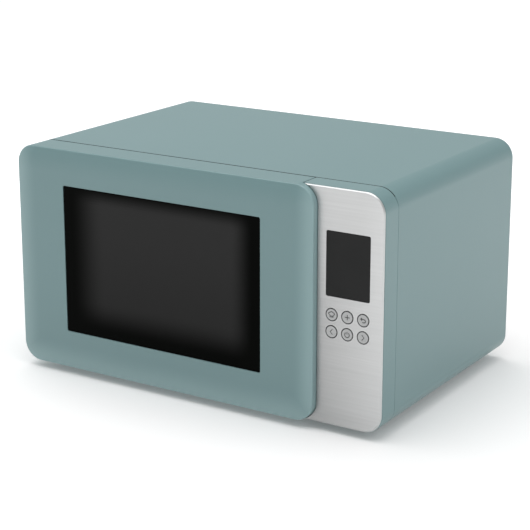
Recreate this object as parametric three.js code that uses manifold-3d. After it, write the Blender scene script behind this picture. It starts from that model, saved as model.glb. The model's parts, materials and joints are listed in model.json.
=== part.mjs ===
// Countertop microwave oven with a left-hinged door, a steel control fascia and a turntable.
// Millimetres, +Z up, front towards -Y. The origin is the centre of the footprint on the worktop.
import * as THREE from 'three';
import { mergeVertices } from 'three/addons/utils/BufferGeometryUtils.js';
import Module from 'manifold-3d';

const wasm = await Module();
wasm.setup();

// ---------------------------------------------------------------- driving dimensions

const WIDTH = 489; // whole oven, across
const DEPTH = 337; // whole oven, door face to rear lip
const CASE_HEIGHT = 268; // painted body without its feet
const FOOT_HEIGHT = 9;
const CORNER_RADIUS = 23; // long edges of the body and the door's corners
const SHEET = 1; // pressed steel sheet
const CLEARANCE = 0.3; // between pieces that touch in the real oven
const SEAT = 0.1; // under pieces that stand on one another

const DOOR_WIDTH = 407.5;
const DOOR_DEPTH = 40.5;
const SEAM_GAP = 1.5; // between the door's back and the casing's front edge
const CROWN_WIDTH = 28; // pillowed border of the door's face
const CROWN_DEPTH = 3.4;
const EDGE_RADIUS = 2.2; // between the door's face and its sides
const DOOR_WALL = 3;
const DOOR_SKIN = 5; // face thickness at the window
const WINDOW_MARGIN = { left: 70.2, right: 64.9, bottom: 47.6, top: 42.2 };
const WINDOW_RADIUS = 2;
const GLASS_THICKNESS = 3.2;

const HINGE_INSET = 6; // pin axis from the body's left side
const HINGE_LEAD = 14; // pin axis in front of the casing's front edge
const HINGE_ARM_RADIUS = 3.5;
const HINGE_ARM_THICKNESS = 2.5;
const HINGE_RISE = CORNER_RADIUS + 6; // arm from the body's bottom and top
const PIN_RADIUS = 2.5;

const CAVITY_MARGIN = { left: 49, right: 43.6, bottom: 34, top: 29, back: 28.5 };
const CAVITY_RADIUS = 9;
const CHOKE_REACH = 27; // choke channel's outer wall beyond the cavity opening, sideways
const CHOKE_RISE = 22; // and upwards or downwards
const CHOKE_DEPTH = 24;

const PANEL_SETBACK = 11.8; // steel fascia behind the door's face
const PANEL_GAP = 0.8; // between the door's right side and the control housing
const PANEL_TIP = 14.5; // housing's thin tips end this far left of the door's right side
const FASCIA_THICKNESS = 1.6;
const FASCIA_INSET = 0.4; // steel inside the body's outline, and the housing's front edge round
const HOUSING_WALL = 2.5;
const DISPLAY = { width: 53.7, height: 73, fromTop: 47.5, fromRight: 43.4, radius: 2 };
const DISPLAY_MODULE = { insideWidth: 6.85, insideHeight: 7.5, flange: 3 }; // against the display's window
const BUTTON = {
  radius: 6.9,
  gap: 0.55, // to its bore
  flange: 1.6, // collar behind the fascia, beyond the cap
  between: 2.3, // neighbouring collars
  belowDisplay: 20.3,
  travel: 0.8,
  proud: 0.3,
};
const BUTTON_DEPTH = 9; // fascia's face to the end of a button's stem
const TACT_HEIGHT = 3.5; // tact switch above the control board

const TURNTABLE_RADIUS = 122.5;
const ROLLER_RADIUS = 6.5;
const ROLLER_TRACK = 91; // turntable axis to the middle of a wheel
const LUG_CIRCLE = 17; // turntable axis to the plate's drive lugs
const REAR_RECESS = 6; // rear panel inside the casing's rear lip

// ---------------------------------------------------------------- derived places

const LEFT = -WIDTH / 2;
const RIGHT = WIDTH / 2;
const FRONT = -DEPTH / 2;
const BACK = DEPTH / 2;
const BOTTOM = FOOT_HEIGHT;
const TOP = FOOT_HEIGHT + CASE_HEIGHT;

const DOOR_RIGHT = LEFT + DOOR_WIDTH;
const DOOR_REAR = FRONT + DOOR_DEPTH;
const SEAM = DOOR_REAR + SEAM_GAP;
const WINDOW = {
  left: LEFT + WINDOW_MARGIN.left,
  right: DOOR_RIGHT - WINDOW_MARGIN.right,
  bottom: BOTTOM + WINDOW_MARGIN.bottom,
  top: TOP - WINDOW_MARGIN.top,
};
const HINGE_X = LEFT + HINGE_INSET;
const HINGE_Y = SEAM - HINGE_LEAD;
const HINGE_ARMS = [
  { name: 'lower_hinge', z: BOTTOM + HINGE_RISE, pinUp: 1 },
  { name: 'upper_hinge', z: TOP - HINGE_RISE, pinUp: -1 },
];

const FRAME_BACK = SEAM + SHEET;
const CAVITY = {
  left: LEFT + CAVITY_MARGIN.left,
  right: DOOR_RIGHT - CAVITY_MARGIN.right,
  front: FRAME_BACK + CLEARANCE,
  back: BACK - CAVITY_MARGIN.back,
  bottom: BOTTOM + CAVITY_MARGIN.bottom,
  top: TOP - CAVITY_MARGIN.top,
};
const TABLE_X = (CAVITY.left + CAVITY.right) / 2;
const TABLE_Y = (CAVITY.front + CAVITY.back) / 2;
const WHEEL_Z = CAVITY.bottom + SEAT + ROLLER_RADIUS;
const PLATE_BOTTOM = WHEEL_Z + ROLLER_RADIUS + SEAT;

const FASCIA_FACE = FRONT + PANEL_SETBACK;
const FASCIA_BACK = FASCIA_FACE + FASCIA_THICKNESS;
const HOUSING_FACE = FASCIA_BACK + CLEARANCE;
const HOUSING_INNER = HOUSING_FACE + HOUSING_WALL;
const PANEL_X = RIGHT - DISPLAY.fromRight;
const DISPLAY_TOP = TOP - DISPLAY.fromTop;
const DISPLAY_BOTTOM = DISPLAY_TOP - DISPLAY.height;
const BUTTON_BORE = BUTTON.radius + BUTTON.gap;
const BUTTON_PITCH = 2 * (BUTTON.radius + BUTTON.flange) + BUTTON.between;
const BUTTON_STEM_END = FASCIA_FACE + BUTTON_DEPTH;
const BOARD_FACE = BUTTON_STEM_END + BUTTON.travel + SEAT + TACT_HEIGHT;

const BASE_TOP = BOTTOM + SHEET;
const REAR_PANEL = BACK - REAR_RECESS - SHEET;
const BAY_LEFT = CAVITY.right + SHEET + CLEARANCE; // component bay right of the cavity
const HOOK_X = DOOR_RIGHT - 11; // middle of the latch hooks
const HOOK_HEIGHTS = [BOTTOM + 70, TOP - 72];

// ---------------------------------------------------------------- solid helpers

const GRID = 1024; // vertices sit on multiples of 1/1024 mm, so faces that should meet share exact planes

/** A closed three.js geometry as a solid for joining and cutting. */
function toSolid(geometry) {
  const bare = geometry.clone();
  bare.deleteAttribute('normal');
  bare.deleteAttribute('uv');
  const { array } = bare.attributes.position;
  for (let i = 0; i < array.length; i += 1) array[i] = Math.round(array[i] * GRID) / GRID;
  const merged = mergeVertices(bare, 1e-4);
  return new wasm.Manifold(new wasm.Mesh({
    numProp: 3,
    vertProperties: new Float32Array(merged.attributes.position.array),
    triVerts: new Uint32Array(merged.index.array),
  }));
}

function box(x0, x1, y0, y1, z0, z1) {
  const geometry = new THREE.BoxGeometry(x1 - x0, y1 - y0, z1 - z0);
  geometry.translate((x0 + x1) / 2, (y0 + y1) / 2, (z0 + z1) / 2);
  return toSolid(geometry);
}

/** Cylinder along axis 'x', 'y' or 'z', from its start point for the given length. */
function rod(axis, start, length, radius, segments = 20) {
  const geometry = new THREE.CylinderGeometry(radius, radius, length, segments);
  geometry.translate(0, length / 2, 0);
  if (axis === 'x') geometry.rotateZ(-Math.PI / 2);
  if (axis === 'z') geometry.rotateX(Math.PI / 2);
  geometry.translate(...start);
  return toSolid(geometry);
}

/** Body of revolution about axis 'x', 'y' or 'z', from a profile of [radius, distance along the axis]. */
function turned(axis, start, profile, segments = 24) {
  const points = profile.map(([radius, along]) => new THREE.Vector2(radius, along));
  const geometry = new THREE.LatheGeometry(points, segments);
  if (axis === 'x') geometry.rotateZ(-Math.PI / 2);
  if (axis === 'z') geometry.rotateX(Math.PI / 2);
  geometry.translate(...start);
  return toSolid(geometry);
}

/** Rounded rectangle as points; outlines with the same steps have the same number of points. */
function roundedOutline(left, right, bottom, top, radius, steps = 7) {
  const r = Math.max(radius, 0.05);
  const [x0, x1, z0, z1] = [left + r, right - r, bottom + r, top - r];
  const centres = [[x1, z1], [x0, z1], [x0, z0], [x1, z0]];
  return centres.flatMap(([x, z], corner) =>
    Array.from({ length: steps + 1 }, (_, i) => {
      const angle = (corner + i / steps) * (Math.PI / 2);
      return new THREE.Vector2(x + r * Math.cos(angle), z + r * Math.sin(angle));
    }));
}

/** Solid through outlines of equal point count, each { outline, at }, stacked along Y. */
function loft(sections) {
  const count = sections[0].outline.length;
  const positions = [];
  for (const { outline, at } of sections) {
    for (const point of outline) positions.push(point.x, at, point.y);
  }
  const index = [];
  for (let s = 0; s + 1 < sections.length; s += 1) {
    for (let i = 0; i < count; i += 1) {
      const a = s * count + i;
      const b = s * count + ((i + 1) % count);
      index.push(a, a + count, b, b, a + count, b + count);
    }
  }
  const end = (sections.length - 1) * count;
  for (const [a, b, c] of THREE.ShapeUtils.triangulateShape(sections[0].outline, [])) index.push(a, b, c);
  for (const [a, b, c] of THREE.ShapeUtils.triangulateShape(sections.at(-1).outline, [])) {
    index.push(end + c, end + b, end + a);
  }
  const geometry = new THREE.BufferGeometry();
  geometry.setAttribute('position', new THREE.Float32BufferAttribute(positions, 3));
  geometry.setIndex(index);
  return toSolid(geometry);
}

function prism(outline, y0, y1) {
  return loft([{ outline, at: y0 }, { outline, at: y1 }]);
}

/** The same outline, given in X and Y, drawn up from z0 to z1. */
function uprightPrism(outline, z0, z1) {
  const shape = new THREE.Shape(outline);
  const geometry = new THREE.ExtrudeGeometry(shape, { depth: z1 - z0, bevelEnabled: false });
  geometry.translate(0, 0, z0);
  return toSolid(geometry);
}

function join(...solids) {
  return solids.reduce((whole, solid) => whole.add(solid));
}

function cut(solid, ...tools) {
  return tools.reduce((left, tool) => left.subtract(tool), solid);
}

const caseOutline = (inset) =>
  roundedOutline(LEFT + inset, RIGHT - inset, BOTTOM + inset, TOP - inset, CORNER_RADIUS - inset);
const doorOutline = (inset) =>
  roundedOutline(LEFT + inset, DOOR_RIGHT - inset, BOTTOM + inset, TOP - inset, CORNER_RADIUS - inset);
/** Outline of a named opening, grown outwards by the same distance all round. */
const openingOutline = (opening, radius, grow, steps) => roundedOutline(
  opening.left - grow, opening.right + grow, opening.bottom - grow, opening.top + grow,
  radius + grow, steps);
const windowOutline = (grow) => openingOutline(WINDOW, WINDOW_RADIUS, grow, 3);
const cavityOutline = (grow) => openingOutline(CAVITY, CAVITY_RADIUS, grow, 4);
/** Box around the cavity opening, reaching beyond it sideways and up and down. */
const aroundOpening = (reach, rise, y0, y1) => box(
  CAVITY.left - reach, CAVITY.right + reach, y0, y1, CAVITY.bottom - rise, CAVITY.top + rise);

// ---------------------------------------------------------------- materials and nodes

const FINISH = {
  paint: { color: 0x86a09f, roughness: 0.45, metalness: 0 },
  chassis: { color: 0x8f9291, roughness: 0.5, metalness: 0.6 },
  enamel: { color: 0xbfc1bd, roughness: 0.4, metalness: 0.1 },
  steel: { color: 0xc9cbcb, roughness: 0.3, metalness: 1 },
  blackGlass: { color: 0x1b1c1c, roughness: 0.08, metalness: 0 },
  clearGlass: { color: 0xdfe9e7, roughness: 0.05, metalness: 0 },
  screen: { color: 0x2c2d2d, roughness: 0.5, metalness: 0.7 },
  blackPlastic: { color: 0x1e1f20, roughness: 0.5, metalness: 0 },
  greyPlastic: { color: 0x8d9090, roughness: 0.5, metalness: 0 },
  whitePlastic: { color: 0xe7e6e0, roughness: 0.5, metalness: 0 },
  rubber: { color: 0x2a2a2a, roughness: 0.8, metalness: 0 },
  mica: { color: 0xb9ae93, roughness: 0.6, metalness: 0 },
  copper: { color: 0xb06a3a, roughness: 0.4, metalness: 1 },
  laminations: { color: 0x5e6063, roughness: 0.5, metalness: 0.8 },
  aluminium: { color: 0xc2c4c6, roughness: 0.35, metalness: 1 },
  circuitBoard: { color: 0x2f6b45, roughness: 0.5, metalness: 0 },
};

const oven = new THREE.Group();

function addNode(name, finish, solid) {
  const mesh = solid.getMesh();
  const geometry = new THREE.BufferGeometry();
  geometry.setAttribute('position', new THREE.Float32BufferAttribute(mesh.vertProperties, 3));
  geometry.setIndex(Array.from(mesh.triVerts));
  geometry.computeVertexNormals();
  const node = new THREE.Mesh(geometry, new THREE.MeshStandardMaterial(FINISH[finish]));
  node.name = name;
  oven.add(node);
}

// ---------------------------------------------------------------- casing and feet

const LIP_WIDTH = 9; // casing's turned-in rear edge
const REAR_ROUND = 3; // soft edge between casing and rear lip
const BASE_EDGE = 35; // body's side to the base plate, which fills the slot between the bottom edges
const BASE_HALF = WIDTH / 2 - BASE_EDGE;
const FOOT_PLACES = [
  { name: 'foot_front_left', x: LEFT + 62, y: SEAM + 26 },
  { name: 'foot_front_right', x: RIGHT - 62, y: SEAM + 26 },
  { name: 'foot_rear_left', x: LEFT + 62, y: BACK - 38 },
  { name: 'foot_rear_right', x: RIGHT - 62, y: BACK - 38 },
];

function cabinetWrap() {
  const outside = loft([
    { outline: caseOutline(0), at: SEAM },
    { outline: caseOutline(0), at: BACK - REAR_ROUND },
    { outline: caseOutline(REAR_ROUND * 0.3), at: BACK - REAR_ROUND * 0.3 },
    { outline: caseOutline(REAR_ROUND), at: BACK },
  ]);
  const inside = loft([
    { outline: caseOutline(SHEET), at: SEAM - 1 },
    { outline: caseOutline(SHEET), at: BACK - REAR_ROUND - 0.4 },
    { outline: caseOutline(SHEET + REAR_ROUND), at: BACK - SHEET },
  ]);
  const rearOpening = prism(caseOutline(LIP_WIDTH), BACK - 5, BACK + 1);
  const bottomSlot = box(-BASE_HALF, BASE_HALF, SEAM - 1, BACK + 1, BOTTOM - 1, BOTTOM + SHEET + LIP_WIDTH);
  return cut(outside, inside, rearOpening, bottomSlot);
}

function basePlate() {
  const half = BASE_HALF - CLEARANCE;
  const front = FRAME_BACK + CLEARANCE;
  const back = REAR_PANEL - CLEARANCE;
  const flange = 14;
  let plate = cut(
    box(-half, half, front, back, BOTTOM, BASE_TOP + flange),
    box(-half + SHEET, half - SHEET, front + SHEET, back - SHEET, BASE_TOP, BASE_TOP + flange + 1),
  );
  for (const foot of FOOT_PLACES) {
    plate = plate.subtract(rod('z', [foot.x, foot.y, BOTTOM - 1], 4, 3.4, 12));
  }
  const ventX = -half + 41;
  const ventY = (FRAME_BACK + REAR_PANEL) / 2;
  for (let row = -4; row <= 4; row += 1) {
    const y = ventY + row * 9;
    const reach = Math.sqrt(40 ** 2 - (row * 8) ** 2) / 2; // slots fill a circle
    plate = plate.subtract(box(ventX - reach, ventX + reach, y - 2, y + 2, BOTTOM - 1, BASE_TOP + 1));
  }
  return plate;
}

function foot(place) {
  const profile = [
    [0, 0], [11.5, 0], [13.5, FOOT_HEIGHT - SEAT], [3.1, FOOT_HEIGHT - SEAT],
    [3.1, BASE_TOP + SEAT], [4.6, BASE_TOP + SEAT], [3, BASE_TOP + 4], [0, BASE_TOP + 4],
  ];
  return turned('z', [place.x, place.y, 0], profile, 16);
}

const GLAND = { x: RIGHT - 76.5, z: BOTTOM + 28, bore: 8 };
const FAN = { x: RIGHT - 60.5, z: TOP - 100, radius: 44, ductRadius: 47 };

function rearPanel() {
  let panel = prism(caseOutline(SHEET + CLEARANCE), REAR_PANEL, REAR_PANEL + SHEET);
  const slot = (x, z, length) =>
    box(x - length / 2, x + length / 2, REAR_PANEL - 1, REAR_PANEL + 3, z - 1.75, z + 1.75);
  for (let row = -5; row <= 5; row += 1) {
    const z = row * 8;
    const halfWidth = Math.sqrt(FAN.radius ** 2 - z ** 2);
    const slots = halfWidth > 24 ? 2 : 1;
    const length = (2 * halfWidth - 4 * (slots - 1)) / slots - 2;
    for (let i = 0; i < slots; i += 1) {
      panel = panel.subtract(slot(FAN.x + (i - (slots - 1) / 2) * (length + 6), FAN.z + z, length));
    }
  }
  for (let row = 0; row < 8; row += 1) {
    for (const x of [LEFT + 60, LEFT + 96]) {
      panel = panel.subtract(slot(x, TOP - 50 - row * 8, 28));
    }
  }
  return panel.subtract(rod('y', [GLAND.x, REAR_PANEL - 1, GLAND.z], 4, GLAND.bore + CLEARANCE, 16));
}

function cordGland() {
  const inner = -6;
  const outer = SHEET + REAR_RECESS - 0.5;
  const profile = [
    [4, inner], [GLAND.bore - 1, inner], [GLAND.bore, -CLEARANCE], [GLAND.bore, SHEET + CLEARANCE],
    [GLAND.bore + 3.5, SHEET + CLEARANCE], [GLAND.bore + 1, outer], [4, outer], [4, inner],
  ];
  return turned('y', [GLAND.x, REAR_PANEL, GLAND.z], profile, 16);
}

addNode('cabinet_wrap', 'paint', cabinetWrap());
addNode('base_plate', 'chassis', basePlate());
addNode('rear_panel', 'chassis', rearPanel());
addNode('cord_gland', 'blackPlastic', cordGland());
for (const place of FOOT_PLACES) addNode(place.name, 'rubber', foot(place));

// ---------------------------------------------------------------- front frame and cavity

const HOOK = { thickness: 3, height: 11, barb: 3, travel: 4, reach: 18 };
const hookSlot = (z, y0, y1) => box(
  HOOK_X - HOOK.thickness / 2 - 2, HOOK_X + HOOK.thickness / 2 + 3, y0, y1,
  z - HOOK.height / 2 - HOOK.barb - 1.5, z + HOOK.height / 2 + HOOK.travel + 1.5);

function frontFrame() {
  let frame = prism(caseOutline(SHEET + CLEARANCE), SEAM, FRAME_BACK);
  frame = cut(frame, prism(cavityOutline(0), SEAM - 1, FRAME_BACK + 1));
  frame = cut(frame, box(DOOR_RIGHT + 8, RIGHT - 8, SEAM - 1, FRAME_BACK + 1, BOTTOM + 34, TOP - 34));
  for (const z of HOOK_HEIGHTS) frame = frame.subtract(hookSlot(z, SEAM - 1, FRAME_BACK + 1));
  for (const arm of HINGE_ARMS) {
    frame = frame.subtract(box(LEFT, HINGE_X + HINGE_ARM_RADIUS + 0.6, SEAM - 1, FRAME_BACK + 1,
      arm.z - HINGE_ARM_THICKNESS / 2 - 0.6, arm.z + HINGE_ARM_THICKNESS / 2 + 0.6));
  }
  return frame;
}

const FEED = { y: CAVITY.back - 120, z: CAVITY.top - 46, width: 64, height: 46 }; // microwaves enter here
const LAMP = { y: CAVITY.back - 48, z: CAVITY.top - 39 };
const AIR_HOLES = { y: CAVITY.back - 80, z: CAVITY.top - 26, pitch: 7, radius: 1.8 };

/** Block across the feed opening, reaching beyond it on all four sides. */
const aroundFeed = (x0, x1, reach) => box(x0, x1,
  FEED.y - FEED.width / 2 - reach, FEED.y + FEED.width / 2 + reach,
  FEED.z - FEED.height / 2 - reach, FEED.z + FEED.height / 2 + reach);

function cavityBox() {
  const wallBack = CAVITY.back + SHEET;
  let shell = cut(prism(cavityOutline(SHEET), CAVITY.front, wallBack),
    prism(cavityOutline(0), CAVITY.front - 1, CAVITY.back));
  const wall = [CAVITY.right - 2, CAVITY.right + 3];
  shell = cut(shell,
    aroundFeed(...wall, 0),
    rod('z', [TABLE_X, TABLE_Y, CAVITY.bottom - 3], 5, 5, 16));
  for (let row = 0; row < 3; row += 1) {
    for (let column = 0; column < 4; column += 1) {
      const hole = [wall[0], LAMP.y - 9 + column * 6, LAMP.z - 6 + row * 6];
      shell = shell.subtract(rod('x', hole, 5, 1.9, 6));
    }
  }
  for (let row = 0; row < 2; row += 1) {
    for (let column = 0; column < 6; column += 1) {
      const y = AIR_HOLES.y + column * AIR_HOLES.pitch;
      const hole = [CAVITY.left - 3, y, AIR_HOLES.z + row * AIR_HOLES.pitch];
      shell = shell.subtract(rod('x', hole, 5, AIR_HOLES.radius, 6));
    }
  }
  return shell;
}

function hinge(arm) {
  const half = HINGE_ARM_THICKNESS / 2;
  const flangeFront = FRAME_BACK + CLEARANCE;
  const pinStart = arm.pinUp > 0 ? arm.z : arm.z - half - 11;
  return join(
    box(HINGE_X - HINGE_ARM_RADIUS, HINGE_X + 20, flangeFront, flangeFront + 2.5, arm.z - 10, arm.z + 10),
    box(HINGE_X - HINGE_ARM_RADIUS, HINGE_X + HINGE_ARM_RADIUS,
      HINGE_Y, flangeFront + 1, arm.z - half, arm.z + half),
    rod('z', [HINGE_X, HINGE_Y, arm.z - half], HINGE_ARM_THICKNESS, HINGE_ARM_RADIUS, 24),
    rod('z', [HINGE_X, HINGE_Y, pinStart], half + 11, PIN_RADIUS, 20),
  );
}

addNode('front_frame', 'enamel', frontFrame());
addNode('cavity', 'enamel', cavityBox());
for (const arm of HINGE_ARMS) addNode(arm.name, 'steel', hinge(arm));

// ---------------------------------------------------------------- microwave feed and lamp

const WAVEGUIDE_DEPTH = 29;
const YOKE = {
  left: BAY_LEFT + WAVEGUIDE_DEPTH + 2 * CLEARANCE,
  length: 52.7,
  front: FEED.y - 40,
  back: FEED.y + 40,
  low: FEED.z - 40,
  high: FEED.z + 36,
};
const TUBE_Z = (YOKE.low + YOKE.high) / 2;

function waveguide() {
  const right = BAY_LEFT + WAVEGUIDE_DEPTH;
  const [y0, y1, z0, z1] = [FEED.y - 50, FEED.y + 50, FEED.z - 37, FEED.z + 34];
  return cut(
    join(box(BAY_LEFT, right, y0, y1, z0, z1), box(BAY_LEFT, BAY_LEFT + SHEET, y0 - 9, y1 + 9, z0, z1)),
    box(BAY_LEFT - 1, right - SHEET, y0 + SHEET, y1 - SHEET, z0 + SHEET, z1 - SHEET),
    rod('x', [right - 3, FEED.y, TUBE_Z], 6, 15, 16),
  );
}

function waveguideCover() {
  const right = CAVITY.right - CLEARANCE;
  return aroundFeed(right - 0.8, right, 7);
}

function magnetronYoke() {
  const right = YOKE.left + YOKE.length;
  return cut(
    box(YOKE.left, right, YOKE.front, YOKE.back, YOKE.low, YOKE.high),
    box(YOKE.left + 1.5, right - 1.5, YOKE.front - 1, YOKE.back + 1, YOKE.low + 1.5, YOKE.high - 1.5),
    rod('x', [YOKE.left - 1, FEED.y, TUBE_Z], 4, 14.8, 16),
    rod('x', [right - 3, FEED.y, TUBE_Z], 6, 10.8, 16),
  );
}

function magnetronFins() {
  const first = YOKE.left + 14.5;
  const finCount = 5;
  const pitch = 5.75;
  let stack = rod('x', [first, FEED.y, TUBE_Z], pitch * (finCount - 1) + 0.8, 20, 16);
  for (let i = 0; i < finCount; i += 1) {
    const x = first + i * pitch;
    stack = stack.add(box(x, x + 0.8, YOKE.front + 3, YOKE.back - 3, YOKE.low + 2.5, YOKE.high - 2.5));
  }
  return stack.subtract(rod('x', [first - 1, FEED.y, TUBE_Z], 30, 18.4, 16));
}

function magnetronTube() {
  const end = YOKE.length - 2;
  const profile = [
    [0, -24], [5, -23], [7, -20], [7, -9], [9, -8], [9, 0], [14, 0.1], [14, 2.2], [27, 2.2], [27, 12],
    [18, 12.2], [18, end - 12.2], [27, end - 12], [27, end], [10, end], [10, end + 2.6], [0, end + 2.6],
  ];
  return turned('x', [YOKE.left, FEED.y, TUBE_Z], profile, 16);
}

function magnetronFilterBox() {
  const left = YOKE.left + YOKE.length + CLEARANCE;
  const [y0, y1, z0, z1] = [FEED.y - 30, FEED.y + 30, TUBE_Z - 28, TUBE_Z + 28];
  const shell = cut(box(left, left + 31, y0, y1, z0, z1),
    box(left - 1, left + 30, y0 + SHEET, y1 - SHEET, z0 + SHEET, z1 - SHEET));
  const feedThrough = box(left + 8, left + 24, y0 - 16, y0 + 0.5, TUBE_Z - 9, TUBE_Z + 9);
  const tabs = [TUBE_Z - 5, TUBE_Z + 5].map((z) =>
    box(left + 15.6, left + 16.4, y0 - 25, y0 - 15, z - 3, z + 3));
  return join(shell, feedThrough, ...tabs);
}

function cavityLamp() {
  return join(
    turned('x', [BAY_LEFT + 2, LAMP.y, LAMP.z], [[0, 0], [6, 2], [9, 8], [9, 13], [6, 19], [0, 19]], 16),
    rod('x', [BAY_LEFT + 19, LAMP.y, LAMP.z], 12, 8, 16),
    box(BAY_LEFT + 19, BAY_LEFT + 21, LAMP.y - 15, LAMP.y + 15, LAMP.z - 12, LAMP.z + 12),
    box(BAY_LEFT, BAY_LEFT + 20, LAMP.y + 13, LAMP.y + 15, LAMP.z - 12, LAMP.z + 12),
  );
}

/** Bimetal cut-out: a disc on a flange with two terminals. */
function thermalCutout(x, y, z) {
  return join(
    rod('z', [x, y, z], 7, 8, 20),
    box(x - 12, x + 12, y - 3.5, y + 3.5, z, z + 1),
    box(x - 4, x - 3.2, y - 3, y + 3, z + 6.5, z + 15),
    box(x + 3.2, x + 4, y - 3, y + 3, z + 6.5, z + 15),
  );
}

addNode('waveguide', 'chassis', waveguide());
addNode('waveguide_cover', 'mica', waveguideCover());
addNode('magnetron_yoke', 'chassis', magnetronYoke());
addNode('magnetron_fins', 'aluminium', magnetronFins());
addNode('magnetron_tube', 'steel', magnetronTube());
addNode('magnetron_filter_box', 'chassis', magnetronFilterBox());
addNode('cavity_lamp', 'whitePlastic', cavityLamp());
addNode('magnetron_cutout', 'blackPlastic', thermalCutout(YOKE.left + 26, FEED.y, YOKE.high + SEAT));
addNode('cavity_cutout', 'blackPlastic', thermalCutout(TABLE_X, TABLE_Y + 60, CAVITY.top + SHEET + SEAT));

// ---------------------------------------------------------------- high-voltage set

const BAY_X = (BAY_LEFT + BASE_HALF) / 2; // middle of the bay's floor
const CORE = { x: BAY_X, y: FRAME_BACK + 82.5, width: 72, depth: 62, height: 66, limb: 22, window: 16 };
const CORE_BASE = BASE_TOP + SEAT;

function transformerCore() {
  const { x, y, width, depth, height, limb, window } = CORE;
  const z0 = CORE_BASE + 2;
  const block = box(x - width / 2, x + width / 2, y - depth / 2, y + depth / 2, z0, z0 + height);
  const windows = [-1, 1].map((side) => {
    const inner = x + side * (limb / 2);
    const outer = x + side * (limb / 2 + window);
    return box(Math.min(inner, outer), Math.max(inner, outer),
      y - depth, y + depth, z0 + 13, z0 + height - 13);
  });
  const base = box(x - width / 2 - 5, x + width / 2 + 5, y - 24, y + 24, CORE_BASE, z0 + 0.5);
  return cut(block, ...windows).add(base);
}

function transformerCoil(z0, height, reach) {
  const { x, y, depth, limb, window } = CORE;
  const half = { x: limb / 2 + window - 0.8, y: depth / 2 + reach };
  const outer = roundedOutline(x - half.x, x + half.x, y - half.y, y + half.y, 10, 4);
  const inner = roundedOutline(x - limb / 2 - CLEARANCE, x + limb / 2 + CLEARANCE,
    y - depth / 2 - CLEARANCE, y + depth / 2 + CLEARANCE, 0.5, 1);
  return cut(uprightPrism(outer, z0, z0 + height), uprightPrism(inner, z0 - 1, z0 + height + 1));
}

const CAN = { x: BAY_X, front: CORE.y + 77, length: 84, halfWidth: 26, halfHeight: 16 };
const CAN_Z = BASE_TOP + 1.6 + CAN.halfHeight;

function capacitor() {
  const outline = roundedOutline(CAN.x - CAN.halfWidth, CAN.x + CAN.halfWidth,
    CAN_Z - CAN.halfHeight, CAN_Z + CAN.halfHeight, CAN.halfHeight, 6);
  const terminals = [-9, 9].map((dx) => join(
    rod('y', [CAN.x + dx, CAN.front - 5, CAN_Z], 6, 4, 12),
    box(CAN.x + dx - 3, CAN.x + dx + 3, CAN.front - 13, CAN.front - 4, CAN_Z - 0.4, CAN_Z + 0.4),
  ));
  return join(prism(outline, CAN.front, CAN.front + CAN.length), ...terminals);
}

function capacitorClamp() {
  const strap = (grow) => roundedOutline(CAN.x - CAN.halfWidth - grow, CAN.x + CAN.halfWidth + grow,
    CAN_Z - CAN.halfHeight - grow, CAN_Z + CAN.halfHeight + grow, CAN.halfHeight + grow, 6);
  const [y0, y1] = [CAN.front + 36, CAN.front + 50];
  const floor = BASE_TOP + SEAT;
  const band = cut(prism(strap(CLEARANCE + 1), y0, y1), prism(strap(CLEARANCE), y0 - 1, y1 + 1),
    box(CAN.x - 60, CAN.x + 60, y0 - 1, y1 + 1, floor - 5, CAN_Z));
  const legs = [-1, 1].map((side) => {
    const inner = CAN.x + side * (CAN.halfWidth + CLEARANCE);
    const outer = inner + side;
    const toe = outer + side * 10;
    return join(box(Math.min(inner, outer), Math.max(inner, outer), y0, y1, floor, CAN_Z + 0.5),
      box(Math.min(inner, toe), Math.max(inner, toe), y0, y1, floor, floor + 1));
  });
  return join(band, ...legs);
}

function diode() {
  const [x, y] = [BAY_X - 24, CORE.y + 53];
  return join(
    rod('x', [x, y, BASE_TOP + 14], 22, 4, 12),
    rod('x', [x + 21, y, BASE_TOP + 14], 6, 1, 8),
    box(x + 26, x + 27, y - 4, y + 4, BASE_TOP + SEAT, BASE_TOP + 18),
    box(x + 26, x + 36, y - 4, y + 4, BASE_TOP + SEAT, BASE_TOP + 1),
  );
}

addNode('transformer_core', 'laminations', transformerCore());
addNode('primary_coil', 'copper', transformerCoil(CORE_BASE + 15.5, 20, 13));
addNode('secondary_coil', 'copper', transformerCoil(CORE_BASE + 37, 16.5, 11));
addNode('capacitor', 'aluminium', capacitor());
addNode('capacitor_clamp', 'chassis', capacitorClamp());
addNode('diode', 'blackPlastic', diode());

// ---------------------------------------------------------------- cooling fan and mains filter

const SHROUD = { front: REAR_PANEL - 23.5, back: REAR_PANEL - CLEARANCE, half: 56 };

function fanShroud() {
  const { front, back, half } = SHROUD;
  const plate = box(FAN.x - half, FAN.x + half, front, front + 3, FAN.z - half, FAN.z + half);
  const duct = rod('y', [FAN.x, front + 1, FAN.z], back - front - 1, FAN.ductRadius + 2.5, 28);
  const opening = rod('y', [FAN.x, front - 1, FAN.z], back - front + 2, FAN.ductRadius, 28);
  const struts = [-1, 1].map((side) =>
    box(FAN.x - FAN.ductRadius - 2, FAN.x + FAN.ductRadius + 2, front, front + 3,
      FAN.z + side * 17 - 3, FAN.z + side * 17 + 3));
  return join(cut(join(plate, duct), opening), ...struts);
}

function fanMotor() {
  const back = SHROUD.front - SEAT;
  return cut(
    join(box(FAN.x - 30, FAN.x + 26, back - 15, back, FAN.z - 24, FAN.z + 24),
      rod('y', [FAN.x, back - 24, FAN.z], 24, 13, 20)),
    box(FAN.x - 22, FAN.x - 15, back - 16, back + 1, FAN.z - 12, FAN.z + 12),
    rod('y', [FAN.x, back - 10, FAN.z], 20, 2.6, 12),
  );
}

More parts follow.
